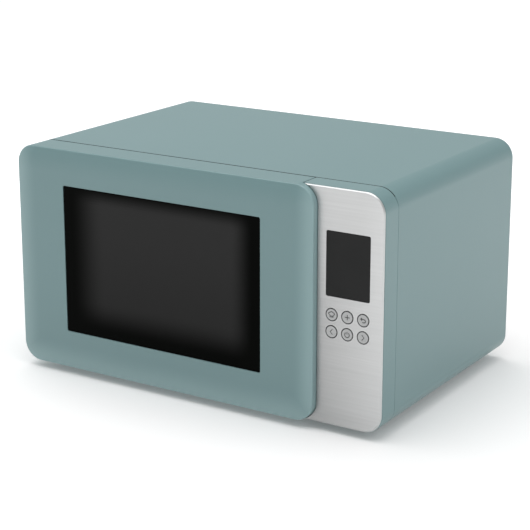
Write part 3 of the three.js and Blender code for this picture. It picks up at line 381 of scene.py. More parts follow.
def mottled(tree, shader, place, dark, light, size, roughness, grain, bump):
    """Colour drifting between two shades over size mm, roughness between two values, and a fine grain in
    relief: grain is its size in mm, bump its height in mm."""
    drift = add(tree, "ShaderNodeTexNoise", {"Vector": place, "Scale": per_mm(size), "Detail": 3.0})
    shade = add(
        tree, "ShaderNodeMix",
        {0: drift.outputs[0], MIX_A: paint(dark), MIX_B: paint(light)}, data_type="RGBA",
    )
    tree.links.new(shade.outputs[MIX_RESULT], shader.inputs["Base Color"])
    fine = add(tree, "ShaderNodeTexNoise", {"Vector": place, "Scale": per_mm(grain), "Detail": 2.0})
    rough = add(
        tree, "ShaderNodeMapRange",
        {"Value": fine.outputs[0], "To Min": roughness[0], "To Max": roughness[1]},
    )
    tree.links.new(rough.outputs[0], shader.inputs["Roughness"])
    relief = add(
        tree, "ShaderNodeBump",
        {"Height": fine.outputs[0], "Distance": bump * MM, "Strength": 1.0},
    )
    tree.links.new(relief.outputs[0], shader.inputs["Normal"])
    return shade, relief


# ---------------------------------------------------------------- finishes


def sage_lacquer(name="sage_lacquer"):
    """Baked satin lacquer on steel and moulded ABS: a soft sheen with the faint orange peel of spraying."""
    material, tree, shader, place = start_finish(name, IOR=1.48, Specular_IOR_Level=0.5)
    shade, _ = mottled(tree, shader, place, 0x6E8A8C, 0x708C8E, 90, (0.32, 0.38), 1.6, 0.004)
    return material, tree, shader, place, shade


def door_lacquer():
    """The same lacquer with a painted sheen: lighter towards the door's left, right and lower borders, where
    its pillowed face turns towards the light.
    """
    material, tree, shader, place, shade = sage_lacquer("door_sage_lacquer_painted_sheen")
    axes = add(tree, "ShaderNodeSeparateXYZ", {"Vector": place})
    sheen_mask = None
    # painted sheen: each border fades to the lighter colour over its reach in mm
    for axis, edge, reach, most in (
        ("X", LEFT, 30, 0.55), ("X", DOOR_RIGHT, -24, 0.75), ("Z", BOTTOM, 34, 0.85),
    ):
        edge_sheen = add(
            tree, "ShaderNodeMapRange",
            {
                "Value": axes.outputs[axis], "From Min": (edge + reach) * MM, "From Max": edge * MM,
                "To Min": 0.0, "To Max": most,
            },
            interpolation_type="SMOOTHSTEP",
        )
        if sheen_mask is None:
            sheen_mask = edge_sheen
        else:
            sheen_mask = add(
                tree, "ShaderNodeMath", {0: sheen_mask.outputs[0], 1: edge_sheen.outputs[0]}, operation="MAXIMUM",
            )
    painted_sheen = add(
        tree, "ShaderNodeMix",
        {0: sheen_mask.outputs[0], MIX_A: shade.outputs[MIX_RESULT], MIX_B: paint(0x8CA7A9)}, data_type="RGBA",
    )
    tree.links.new(painted_sheen.outputs[MIX_RESULT], shader.inputs["Base Color"])
    return material


def brushed_steel():
    """Stainless sheet brushed along its width: long fine scratches that spread reflections up and down."""
    material, tree, shader, place = start_finish(
        "brushed_stainless_steel", Metallic=1.0, Anisotropic=0.65, Anisotropic_Rotation=0.0,
    )
    scratch_length, scratch_width = 60, 0.35
    stretched = add(
        tree, "ShaderNodeMapping",
        {"Vector": place, "Scale": (per_mm(scratch_length), 1.0, per_mm(scratch_width))},
    )
    scratches = add(
        tree, "ShaderNodeTexNoise", {"Vector": stretched.outputs[0], "Scale": 1.0, "Detail": 4.0},
    )
    wide = add(
        tree, "ShaderNodeMapping",
        {"Vector": place, "Scale": (per_mm(140), 1.0, per_mm(2.6))},
    )
    bands = add(tree, "ShaderNodeTexNoise", {"Vector": wide.outputs[0], "Scale": 1.0, "Detail": 2.0})
    both = add(
        tree, "ShaderNodeMath", {0: scratches.outputs[0], 1: bands.outputs[0]}, operation="ADD",
    )
    contrast = add(
        tree, "ShaderNodeMapRange",
        {"Value": both.outputs[0], "From Min": 0.6, "From Max": 1.4, "To Min": 0.0, "To Max": 1.0},
    )
    # painted reflection: the base colour is lighter towards the right and towards the top of the fascia
    axes = add(tree, "ShaderNodeSeparateXYZ", {"Vector": place})
    across = add(
        tree, "ShaderNodeMapRange",
        {
            "Value": axes.outputs["X"], "From Min": FASCIA_LOW.x * MM, "From Max": FASCIA_HIGH.x * MM,
            "To Min": 0.0, "To Max": 1.0,
        },
    )
    upwards = add(
        tree, "ShaderNodeMapRange",
        {
            "Value": axes.outputs["Z"], "From Min": (BOTTOM + 60) * MM, "From Max": TOP * MM,
            "To Min": 0.0, "To Max": 0.85,
        },
    )
    painted_reflection_tone = add(
        tree, "ShaderNodeMath",
        {0: across.outputs[0], 1: upwards.outputs[0], 2: 0.25}, operation="SMOOTH_MAX",
    )
    plain = add(
        tree, "ShaderNodeMix",
        {0: painted_reflection_tone.outputs[0], MIX_A: paint(0xA9A9A9), MIX_B: paint(0xC9CACA)}, data_type="RGBA",
    )
    darker = add(
        tree, "ShaderNodeMix",
        {0: painted_reflection_tone.outputs[0], MIX_A: paint(0x9B9B9B), MIX_B: paint(0xBFC0C0)}, data_type="RGBA",
    )
    shade = add(
        tree, "ShaderNodeMix",
        {0: contrast.outputs[0], MIX_A: darker.outputs[MIX_RESULT], MIX_B: plain.outputs[MIX_RESULT]},
        data_type="RGBA",
    )
    tree.links.new(shade.outputs[MIX_RESULT], shader.inputs["Base Color"])
    rough = add(
        tree, "ShaderNodeMapRange", {"Value": scratches.outputs[0], "To Min": 0.3, "To Max": 0.42},
    )
    tree.links.new(rough.outputs[0], shader.inputs["Roughness"])
    relief = add(
        tree, "ShaderNodeBump",
        {"Height": scratches.outputs[0], "Distance": 0.006 * MM, "Strength": 1.0},
    )
    tree.links.new(relief.outputs[0], shader.inputs["Normal"])
    tangent = add(tree, "ShaderNodeTangent", direction_type="RADIAL", axis="Z")
    tree.links.new(tangent.outputs[0], shader.inputs["Tangent"])
    return material


def smoked_window():
    """Toughened glass, back-printed black at its rim; the screen and cavity behind it are painted on as
    painted light, lighter in the middle and towards the top, with painted shade from the deep recess fading
    in towards the rim.
    """
    material, tree, shader, place = start_finish(
        "smoked_window_glass", IOR=1.5, Specular_IOR_Level=0.02,
    )
    axes = add(tree, "ShaderNodeSeparateXYZ", {"Vector": place})
    left, right, low, high = WINDOW
    middle = None
    # painted light and shade: each edge is black over its printed band and fades to the lighter middle over
    # its clear reach
    for axis, edge, printed, clear in (
        ("X", left, 11, 60), ("X", right, -10, -40), ("Z", high, 2, -20), ("Z", low, 8, 46),
    ):
        recess_shade_fade = add(
            tree, "ShaderNodeMapRange",
            {
                "Value": axes.outputs[axis], "From Min": (edge + printed) * MM,
                "From Max": (edge + clear) * MM, "To Min": 0.0, "To Max": 1.0,
            },
            interpolation_type="SMOOTHSTEP",
        )
        if middle is None:
            middle = recess_shade_fade
        else:
            middle = add(
                tree, "ShaderNodeMath", {0: middle.outputs[0], 1: recess_shade_fade.outputs[0]}, operation="MULTIPLY",
            )
    # painted light: lighter towards the top of the window, darker towards the bottom
    cavity = add(
        tree, "ShaderNodeMapRange",
        {
            "Value": axes.outputs["Z"], "From Min": low * MM, "From Max": high * MM,
            "To Min": 0.75, "To Max": 1.12,
        },
    )
    # the perforated screen behind shows as a barely lighter net, drawn at 3 mm pitch so that it shows
    cells = add(
        tree, "ShaderNodeTexVoronoi",
        {"Vector": place, "Scale": per_mm(3.0), "Randomness": 0.0}, voronoi_dimensions="3D",
    )
    net = add(
        tree, "ShaderNodeMapRange",
        {
            "Value": cells.outputs["Distance"], "From Min": 0.25, "From Max": 0.4,
            "To Min": 0.88, "To Max": 1.0,
        },
    )
    netted = add(tree, "ShaderNodeMath", {0: middle.outputs[0], 1: net.outputs[0]}, operation="MULTIPLY")
    lit = add(tree, "ShaderNodeMath", {0: netted.outputs[0], 1: cavity.outputs[0]}, operation="MULTIPLY")
    shade = add(
        tree, "ShaderNodeMix",
        {0: lit.outputs[0], MIX_A: paint(0x040504), MIX_B: paint(0x313131)}, data_type="RGBA",
    )
    tree.links.new(shade.outputs[MIX_RESULT], shader.inputs["Base Color"])
    haze = add(tree, "ShaderNodeTexNoise", {"Vector": place, "Scale": per_mm(45), "Detail": 2.0})
    rough = add(tree, "ShaderNodeMapRange", {"Value": haze.outputs[0], "To Min": 0.1, "To Max": 0.18})
    tree.links.new(rough.outputs[0], shader.inputs["Roughness"])
    return material


def display_cover():
    """Tinted acrylic over an unlit display: even dark grey with a soft gloss."""
    material, tree, shader, place = start_finish("display_acrylic", IOR=1.49, Specular_IOR_Level=0.1)
    mottled(tree, shader, place, 0x212222, 0x282828, 30, (0.12, 0.2), 6.0, 0.002)
    return material


def button_steel():
    """Machined steel caps: fine rings from the facing tool."""
    material, tree, shader, place = start_finish("turned_steel", Metallic=1.0)
    mottled(tree, shader, place, 0x9C9D9D, 0xB0B1B1, 2.5, (0.28, 0.4), 0.4, 0.003)
    return material


def printed_grey():
    """Grey enamel filled into the caps' engraved marks."""
    material, tree, shader, place = start_finish("engraving_enamel", IOR=1.5, Specular_IOR_Level=0.3)
    mottled(tree, shader, place, 0x2E2F30, 0x3A3B3C, 1.5, (0.45, 0.6), 0.3, 0.004)
    return material


def moulded(name, dark, light, grain=0.6, roughness=(0.42, 0.55)):
    """Injection-moulded plastic with the fine spark-eroded texture of its tool."""
    material, tree, shader, place = start_finish(name, IOR=1.46, Specular_IOR_Level=0.4)
    mottled(tree, shader, place, dark, light, 35, roughness, grain, 0.012)
    return material


def cavity_enamel():
    """Fired enamel on the cavity and front frame: pale grey with a soft gloss and a fine speckle."""
    material, tree, shader, place = start_finish("fired_grey_enamel", IOR=1.5, Specular_IOR_Level=0.5)
    shade, _ = mottled(tree, shader, place, 0xA9ACAA, 0xB4B6B3, 60, (0.25, 0.36), 2.2, 0.006)
    specks = add(
        tree, "ShaderNodeTexVoronoi", {"Vector": place, "Scale": per_mm(2.4), "Randomness": 1.0},
    )
    dot = add(
        tree, "ShaderNodeMapRange",
        {
            "Value": specks.outputs["Distance"], "From Min": 0.1, "From Max": 0.2,
            "To Min": 0.7, "To Max": 0.0,
        },
    )
    speckled = add(
        tree, "ShaderNodeMix",
        {0: dot.outputs[0], MIX_A: shade.outputs[MIX_RESULT], MIX_B: paint(0x6E7170)}, data_type="RGBA",
    )
    tree.links.new(speckled.outputs[MIX_RESULT], shader.inputs["Base Color"])
    return material


def zinc_plated(name="zinc_coated_steel", dark=0x9A9D9E, light=0xB7BABA):
    """Hot-dip zinc on steel sheet: flat crystal spangles a few millimetres across, each of another grey."""
    material, tree, shader, place = start_finish(name, Metallic=0.85)
    mottled(tree, shader, place, dark, light, 40, (0.38, 0.5), 0.8, 0.004)
    spangles = add(
        tree, "ShaderNodeTexVoronoi", {"Vector": place, "Scale": per_mm(7.0), "Randomness": 1.0},
    )
    grey = add(tree, "ShaderNodeRGBToBW", {"Color": spangles.outputs["Color"]})
    shade = add(
        tree, "ShaderNodeMix",
        {0: grey.outputs[0], MIX_A: paint(dark), MIX_B: paint(light)}, data_type="RGBA",
    )
    tree.links.new(shade.outputs[MIX_RESULT], shader.inputs["Base Color"])
    return material


def bare_metal(name, dark, light, roughness, grain=1.2, metallic=1.0):
    """Bright drawn or rolled metal with faint rolling marks."""
    material, tree, shader, place = start_finish(name, Metallic=metallic)
    mottled(tree, shader, place, dark, light, 12, roughness, grain, 0.006)
    return material


def laminations():
    """Stacked iron sheets, dipped in varnish: a stripe every half millimetre, drawn at 1.5 mm to show."""
    material, tree, shader, place = start_finish("varnished_iron_stack", Metallic=0.6)
    shade, _ = mottled(tree, shader, place, 0x3C3E41, 0x55585B, 18, (0.4, 0.6), 1.0, 0.01)
    stripes = add(
        tree, "ShaderNodeTexWave",
        {"Vector": place, "Scale": per_mm(1.5) / 6.283, "Distortion": 0.4},
        wave_type="BANDS", bands_direction="Y",
    )
    striped = add(
        tree, "ShaderNodeMix",
        {0: stripes.outputs["Fac"], MIX_A: shade.outputs[MIX_RESULT], MIX_B: paint(0x6F7275)},
        data_type="RGBA",
    )
    tree.links.new(striped.outputs[MIX_RESULT], shader.inputs["Base Color"])
    return material


def wound_copper():
    """Enamelled copper wire laid in turns: ridges one wire apart, drawn at 1.2 mm."""
    material, tree, shader, place = start_finish("enamelled_copper_wire", Metallic=0.9)
    _, relief = mottled(tree, shader, place, 0x8E4A22, 0xB4683A, 10, (0.25, 0.4), 0.8, 0.004)
    turns = add(
        tree, "ShaderNodeTexWave",
        {"Vector": place, "Scale": per_mm(1.2) / 6.283}, wave_type="BANDS", bands_direction="Z",
    )
    ridges = add(
        tree, "ShaderNodeBump",
        {"Height": turns.outputs["Fac"], "Distance": 0.25 * MM, "Normal": relief.outputs[0]},
    )
    tree.links.new(ridges.outputs[0], shader.inputs["Normal"])
    return material


def circuit_board():
    """Glass-fibre board under green solder resist, with paler copper tracks under it."""
    material, tree, shader, place = start_finish("green_circuit_board", IOR=1.5, Specular_IOR_Level=0.5)
    mottled(tree, shader, place, 0x1F5A3A, 0x2A6C48, 8, (0.25, 0.35), 0.8, 0.01)
    cells = add(
        tree, "ShaderNodeTexVoronoi",
        {"Vector": place, "Scale": per_mm(5.0), "Randomness": 1.0}, distance="CHEBYCHEV",
    )
    tracks = add(
        tree, "ShaderNodeMapRange",
        {"Value": cells.outputs["Distance"], "From Min": 0.42, "From Max": 0.46},
    )
    shade = add(
        tree, "ShaderNodeMix",
        {0: tracks.outputs[0], MIX_A: paint(0x22603E), MIX_B: paint(0x4F9A66)}, data_type="RGBA",
    )
    tree.links.new(shade.outputs[MIX_RESULT], shader.inputs["Base Color"])
    return material


def perforated_screen():
    """Punched and blackened steel screen: holes at 2 mm pitch, drawn as dark dots with a pressed rim."""
    material, tree, shader, place = start_finish("punched_screen_steel", Metallic=0.7)
    mottled(tree, shader, place, 0x4A4C4C, 0x5A5C5C, 20, (0.4, 0.5), 0.8, 0.004)
    holes = add(
        tree, "ShaderNodeTexVoronoi", {"Vector": place, "Scale": per_mm(2.0), "Randomness": 0.0},
    )
    open_ = add(
        tree, "ShaderNodeMapRange",
        {"Value": holes.outputs["Distance"], "From Min": 0.3, "From Max": 0.36},
    )
    shade = add(
        tree, "ShaderNodeMix",
        {0: open_.outputs[0], MIX_A: paint(0x0B0B0B), MIX_B: paint(0x555757)}, data_type="RGBA",
    )
    tree.links.new(shade.outputs[MIX_RESULT], shader.inputs["Base Color"])
    relief = add(
        tree, "ShaderNodeBump", {"Height": open_.outputs[0], "Distance": 0.3 * MM},
    )
    tree.links.new(relief.outputs[0], shader.inputs["Normal"])
    return material


def clear_glass(name, tint, roughness):
    """Pressed soda-lime glass: clear with a faint green body and gentle ripples from its mould."""
    material, tree, shader, place = start_finish(name, IOR=1.5, Transmission_Weight=0.92)
    mottled(tree, shader, place, tint, 0xF2F7F5, 40, roughness, 9.0, 0.05)
    return material


FINISH = {
    "lacquer": sage_lacquer()[0],
    "door_lacquer": door_lacquer(),
    "steel": brushed_steel(),
    "polished": bare_metal("polished_steel_edge", 0xC0C2C2, 0xCACCCC, (0.32, 0.42)),
    "window": smoked_window(),
    "display": display_cover(),
    "cap": button_steel(),
    "mark": printed_grey(),
    "black": moulded("black_moulded_plastic", 0x17181A, 0x1F2022),
    "grey": moulded("grey_moulded_plastic", 0x808484, 0x8E9292),
    "white": moulded("white_moulded_plastic", 0xDAD9D2, 0xE8E7E1),
    # painted shade: a dark finish for the shade inside seams and gaps
    "painted_seam_shade": moulded("painted_seam_shade_dark", 0x2E3839, 0x364142, 0.8, (0.6, 0.75)),
    "rubber": moulded("foot_rubber", 0x1C1C1C, 0x262626, 1.0, (0.7, 0.85)),
    "mica": moulded("pressed_mica", 0xA89B7C, 0xC4B897, 2.0, (0.35, 0.6)),
    "enamel": cavity_enamel(),
    "zinc": zinc_plated(),
    "pin": bare_metal("bright_zinc_plate", 0xA5A7A6, 0xC3C5C4, (0.25, 0.4)),
    "aluminium": bare_metal("rolled_aluminium", 0xB4B7BA, 0xCBCED0, (0.28, 0.42)),
    "iron": laminations(),
    "copper": wound_copper(),
    "board": circuit_board(),
    "screen": perforated_screen(),
    "inner_sheet": clear_glass("clear_polymer_sheet", 0xDDE4E2, (0.05, 0.12)),
    "table_glass": clear_glass("pressed_turntable_glass", 0xD5E5E0, (0.02, 0.08)),
}

SLOT_FINISH = {
    "casing_paint": "lacquer",
    "door_paint": "lacquer",
    "fascia_steel": "steel",
    "button_steel": "cap",
    "bare_steel": "zinc",
    "hinge_steel": "pin",
    "cavity_enamel": "enamel",
    "window_glass": "window",
    "screen_metal": "screen",
    "black_plastic": "black",
    "grey_plastic": "grey",
    "white_plastic": "white",
    "clear_panel": "inner_sheet",
    "turntable_glass": "table_glass",
    "foot_rubber": "rubber",
    "mica": "mica",
    "copper_wire": "copper",
    "laminated_iron": "iron",
    "aluminium": "aluminium",
    "circuit_board": "board",
}


def finish_cad_nodes():
    """Every CAD node gets the finish of its slot in the record."""
    for part in frame["record"]["subparts"]:
        node = frame["nodes"][part["node"]]
        for place in node.material_slots:
            place.material = FINISH[SLOT_FINISH[part["material_slot"]]]


# ---------------------------------------------------------------- casing and feet


def quarter(radius, steps=6):
    """(in, back) pairs of a quarter round that starts along the side and ends along the end."""
    angles = [math.radians(90 * i / steps) for i in range(steps + 1)]
    return [(radius * (1 - math.cos(a)), radius * math.sin(a)) for a in angles]


def casing_shell():
    """Wrap-around casing: bent front edge, long rounded corners, and a rear lip turned in softly."""
    edge = 0.35
    outer = [(edge, SEAM), (0.1, SEAM + 0.1), (0.0, SEAM + edge)]
    outer += [(inset, BACK - REAR_ROUND + back) for inset, back in quarter(REAR_ROUND)]
    outer += [(LIP_WIDTH - edge, BACK), (LIP_WIDTH, BACK - edge), (LIP_WIDTH, BACK - SHEET)]
    inner_round = REAR_ROUND - SHEET
    inner = [(SHEET + inset, BACK - REAR_ROUND + back) for inset, back in quarter(inner_round)]
    inner = inner[::-1] + [(SHEET, SEAM + edge), (SHEET - edge, SEAM)]
    chain = outer + inner
    rings = []
    paths = {inset: casing_path(inset) for inset, _ in chain}
    for i in range(len(paths[0.0])):
        rings.append([(paths[inset][i][0], y, paths[inset][i][1]) for inset, y in chain])
    shell = soften(rings_object("casing_shell", rings))
    fit(shell, "oven", "casing_paint", FINISH["lacquer"], "cabinet_wrap")
    # painted shade: the casing's front edge along the top is dark, for the shade inside the seam
    shell.data.materials.append(FINISH["painted_seam_shade"])
    for face in shell.data.polygons:
        in_seam_shade = face.center.y < (SEAM + edge) * MM and face.center.z > (TOP - 9) * MM
        face.material_index = int(in_seam_shade)


def feet():
    for name in ("front_left", "front_right", "rear_left", "rear_right"):
        low, high = span(f"foot_{name}")
        x, y = (low.x + high.x) / 2, (low.y + high.y) / 2
        barb = high.z - 3.6  # the foot's stem ends in a barb that snaps into the base
        profile = [
            (0, 0.6), (5.5, 0.6), (6, 0), (10.6, 0), (11.4, 0.4), (11.7, 1.2), (13.2, 7.6),
            (12.9, 8.5), (12.1, 8.9), (3.1, 8.9), (3.1, barb), (4.4, barb), (3, high.z), (0, high.z),
        ]
        foot = soften(lathe(f"foot_pad_{name}", profile, (x, y, 0), segments=48))
        fit(foot, "oven", "foot_rubber", FINISH["rubber"], f"foot_{name}")


def casing_screws():
    """Pan-head screws that hold the casing's rear lip and the rear panel."""
    inset, upper, lower, apart = 5.4, TOP - 70, BOTTOM + 60, RIGHT - 120
    lip = [
        (RIGHT - inset, upper), (RIGHT - inset, lower), (LEFT + inset, upper), (LEFT + inset, lower),
        (0, TOP - inset), (apart, TOP - inset), (-apart, TOP - inset),
    ]
    profile = [(0, -0.9), (2.5, -0.9), (3.4, -0.55), (3.6, 0), (3.6, 0.02), (0, 0.02)]
    head_back = -0.02
    for index, (x, z) in enumerate(lip):
        turned = [(r, head_back - along) for r, along in profile]
        head = lathe(f"casing_screw_{index + 1}", turned, (x, BACK, z), "y", 28)
        reach, half, depth = 1.7, 0.4, 0.5  # cross recess
        carve(
            head,
            block(x - reach, x + reach, BACK + depth, BACK + 2, z - half, z + half),
            block(x - half, x + half, BACK + depth, BACK + 2, z - reach, z + reach),
        )
        fit(soften(head), "oven", "bare_steel", FINISH["pin"])


# ---------------------------------------------------------------- door


def door_shell():
    """Moulded door: pillowed face, crisp outer round, window opening and open back."""
    face_rings = []
    steps = 14
    for i in range(steps + 1):
        t = 1 - i / steps
        inset = DOOR_EDGE + (CROWN_WIDTH - DOOR_EDGE) * (1 - t)
        face_rings.append((door_outline(inset), FRONT + CROWN_DEPTH * t * t))
    edge_rings = [
        (door_outline(inset), FRONT + CROWN_DEPTH + DOOR_EDGE - back)
        for inset, back in quarter(DOOR_EDGE)
    ][:-1]
    rim = 0.4
    window_rings = [
        (window_outline(rim - inset), FRONT + back) for inset, back in
        [(0, 0), (0.12, 0.02), (0.28, 0.12), (rim, rim)]
    ]
    sections = (
        [(door_outline(rim), DOOR_REAR), (door_outline(0), DOOR_REAR - rim)]
        + edge_rings
        + face_rings
        + window_rings
        + [(window_outline(0), FRONT + DOOR_SKIN), (door_outline(DOOR_WALL), FRONT + DOOR_SKIN)]
        + [(door_outline(DOOR_WALL), DOOR_REAR - rim), (door_outline(DOOR_WALL - rim), DOOR_REAR)]
    )
    shell = stack("door_shell", sections, closed=True)
    slot_reach, slot_lead, slot_half = 12, 9, 1.95  # slots for the hinge arms
    tools = [
        block(LEFT - 1, LEFT + slot_reach, HINGE_Y - slot_lead, DOOR_REAR + 1, z - slot_half, z + slot_half)
        for z in HINGE_ARMS.values()
    ]
    cut = 2.5  # off the rear left edge, which swings past the casing
    chamfer = [
        [(LEFT - 1, DOOR_REAR + 1, z), (LEFT - 1, DOOR_REAR - cut, z), (LEFT + cut, DOOR_REAR + 1, z)]
        for z in (BOTTOM - 1, TOP + 1)
    ]
    tools.append(rings_object("tool", chamfer))
    carve(shell, *tools)
    return fit(soften(shell), "door", "door_paint", FINISH["door_lacquer"], "door_frame")


def hinge_bosses():
    """Sleeves in the door that turn on the hinge pins."""
    bore, wall, length, eased, clear = 2.8, 2.5, 11.5, 0.4, 2.0
    outside = bore + wall
    profile = [
        (bore, 0), (bore, length), (outside - eased, length), (outside, length - eased),
        (outside, eased), (outside - eased, 0),
    ]
    for name, arm_z in HINGE_ARMS.items():
        start = arm_z - clear - length if name == "upper" else arm_z + clear
        boss = lathe(f"hinge_boss_{name}", profile, (HINGE_X, HINGE_Y, start), segments=40, closed=True)
        fit(soften(boss), "door", "door_paint", FINISH["lacquer"])


def window_pane():
    """Toughened pane with ground edges, set just behind the door's face."""
    low, high = GLASS_LOW.y, GLASS_HIGH.y
    ground = 0.35
    sections = [
        (window_outline(-FIT - ground), low), (window_outline(-FIT), low + ground),
        (window_outline(-FIT), high - ground), (window_outline(-FIT - ground), high),
    ]
    pane = soften(stack("window_pane", sections), 50)
    return fit(pane, "door", "window_glass", FINISH["window"], "door_glass")


# ---------------------------------------------------------------- control side


def housing_shell():
    """Painted housing behind the steel: rounded front edge, and a front wall with its openings."""
    sections = [
        (beside_door(FASCIA_INSET - inset, PANEL_GAP), HOUSING_FACE + back)
        for back, inset in quarter(FASCIA_INSET)
    ]
    sections.append((beside_door(0, PANEL_GAP), HOUSING_BACK))
    shell = stack("housing_shell", sections)
    inside = beside_door(HOUSING_WALL, PANEL_GAP + HOUSING_WALL, 2.0)
    tools = [stack("tool", [(inside, HOUSING_FACE + HOUSING_WALL), (inside, HOUSING_BACK + 1)])]
    hole = display_outline(-3)
    tools.append(stack("tool", [(hole, HOUSING_FACE - 1), (hole, HOUSING_FACE + HOUSING_WALL + 1)]))
    for place in BUTTONS.values():
        bore = arc(place.x, place.z, BUTTON_BORE, 0, 350, 35)
        tools.append(stack("tool", [(bore, HOUSING_FACE - 1), (bore, HOUSING_FACE + HOUSING_WALL + 1)]))
    carve(shell, *tools)
    narrow, wide = TOP - 20, TOP - 5  # the seam behind the housing widens between these heights
    for vertex in shell.data.vertices:
        _, y, z = vertex.co / MM
        if y > HOUSING_BACK - HAIRLINE:
            share = min(max((z - narrow) / (wide - narrow), 0), 1)
            vertex.co.y = (HOUSING_BACK - share * (HOUSING_BACK - DOOR_REAR)) * MM
    return fit(soften(shell), "oven", "door_paint", FINISH["lacquer"], "panel_housing")


def gap_shade_strip():
    """Thin dark strip in the gap between the housing's upper tip and the door: painted shade for the shadow
    in that gap.
    """
    low, high, width, room = TOP - 0.16, TOP - 0.01, 1.2, 0.4
    tip = beside_door(0, PANEL_GAP)[0][0]
    lip = [(tip - width, low), (tip - 0.02, low), (tip - 0.02, high), (tip - width, high)]
    strip = stack("gap_shade_strip", [(lip, HOUSING_FACE), (lip, DOOR_REAR - room)])
    return fit(soften(strip), "oven", "foot_rubber", FINISH["painted_seam_shade"])


def fascia_outline(bevel, beside):
    """The fascia's rim, moved inwards by bevel, and by beside where it faces the door."""
    return beside_door(FASCIA_INSET + bevel, PANEL_GAP + beside)


def fascia_plate():
    """Brushed sheet with eased openings, and the polished bevel round its rim."""
    narrow = 0.35
    outlines = [fascia_outline(FASCIA_BEVEL + 2 * HAIRLINE, narrow + HAIRLINE), display_outline(0)]
    for place in BUTTONS.values():
        outlines.append(arc(place.x, place.z, BUTTON_BORE, 0, 355, 71))
    fascia = soften(plate("fascia_plate", outlines, FASCIA_FACE, FASCIA_BACK, HAIRLINE, 1), 28)
    fit(fascia, "oven", "fascia_steel", FINISH["steel"], "steel_fascia")
    rim = [
        (fascia_outline(0, 0), FASCIA_BACK),
        (fascia_outline(0, 0), FASCIA_FACE + FASCIA_BEVEL),
        (fascia_outline(FASCIA_BEVEL, narrow), FASCIA_FACE),
        (fascia_outline(FASCIA_BEVEL + HAIRLINE, narrow + HAIRLINE / 2), FASCIA_FACE),
        (fascia_outline(FASCIA_BEVEL + HAIRLINE, narrow + HAIRLINE / 2), FASCIA_BACK),
    ]
    edge = soften(stack("fascia_rim", rim, closed=True), 28)
    fit(edge, "oven", "fascia_steel", FINISH["polished"], "steel_fascia")


def display_pane():
    low, high = DISPLAY_LOW.y, DISPLAY_HIGH.y
    eased = 0.3
    sections = [
        (display_outline(-FIT - eased), low), (display_outline(-FIT), low + eased),
        (display_outline(-FIT), high),
    ]
    pane = soften(stack("display_pane", sections), 50)
    return fit(pane, "oven", "window_glass", FINISH["display"], "display_glass")


PICTOGRAMS = {
    "menu": [
        arc(-1.9, 0.9, 1.25, 250, 100, 6) + arc(0, 1.6, 1.45, 150, 30, 6)
        + arc(1.9, 0.9, 1.25, 80, -70, 6),
        [(-1.75, -0.2), (-1.75, -2.5), (1.75, -2.5), (1.75, -0.2)],
        [(-1.75, -1.5), (1.75, -1.5)],
    ],
    "plus": [[(-2.6, 0), (2.6, 0)], [(0, -2.6), (0, 2.6)]],
    "return": [
        [(-1.1, 2.6), (-2.7, 1.1), (-1.1, -0.4)],
        [(-2.7, 1.1), (0.9, 1.1)] + arc(0.9, -0.5, 1.6, 85, -90, 8) + [(-0.9, -2.1)],
    ],
    "left": [[(1.2, 2.7), (-1.4, 0), (1.2, -2.7)]],
    "start": [arc(0, -0.3, 2.5, 125, 415, 16), [(0, 2.9), (0, 0.3)]],
    "right": [[(-1.2, 2.7), (1.4, 0), (-1.2, -2.7)]],
}
MARK_SCALE = 1.12
MARK_WIDTH = 1.0
RING_WIDTH = 0.4
RING_RADIUS = 6.45


def strokes(name, lines, width, x, y, z):
    """Raised enamel lines on a cap: round strokes pressed flat."""
    curve = bpy.data.curves.new(name, "CURVE")
    curve.dimensions = "3D"
    curve.bevel_depth = width / 2 * MM
    curve.bevel_resolution = 2
    curve.use_fill_caps = True
    for line in lines:
        cyclic = line[0] == line[-1]
        points = line[:-1] if cyclic else line
        spline = curve.splines.new("POLY")
        spline.points.add(len(points) - 1)
        spline.use_cyclic_u = cyclic
        for point, (u, v) in zip(spline.points, points):
            point.co = (u * MM, v * MM, 0, 1)
    flat = Matrix.Diagonal((1, 0.22, 1, 1))
    return curve_mesh(name, curve, Matrix.Translation((x * MM, y * MM, z * MM)) @ flat)


def buttons():
    for name, place in BUTTONS.items():
        low, high = span(f"button_{name}")
        face, back = low.y, high.y
        collar = face + COLLAR_PLACE
        collar_end = collar + COLLAR_THICKNESS
        profile = [
            (0, face), (BUTTON_RADIUS - 0.6, face), (BUTTON_RADIUS - 0.2, face + 0.15),
            (BUTTON_RADIUS, face + 0.55), (BUTTON_RADIUS, collar), (COLLAR_RADIUS, collar),
            (COLLAR_RADIUS, collar_end), (STEM_RADIUS, collar_end), (STEM_RADIUS, back), (0, back),
        ]
        centre = (place.x, 0, place.z)
        cap = soften(lathe(f"button_cap_{name}", profile, centre, "y", 56))
        fit(cap, f"button_{name}", "button_steel", FINISH["cap"], f"button_{name}")
        circle = arc(0, 0, RING_RADIUS, 0, 360, 48)
        circle[-1] = circle[0]
        ring = strokes(f"button_ring_{name}", [circle], RING_WIDTH, place.x, face, place.z)
        fit(soften(ring, 60), f"button_{name}", "black_plastic", FINISH["mark"])
        drawn = [[(u * MARK_SCALE, v * MARK_SCALE) for u, v in line] for line in PICTOGRAMS[name]]
        marks = strokes(f"button_mark_{name}", drawn, MARK_WIDTH, place.x, face, place.z)
        fit(soften(marks, 60), f"button_{name}", "black_plastic", FINISH["mark"])


# ---------------------------------------------------------------- turntable


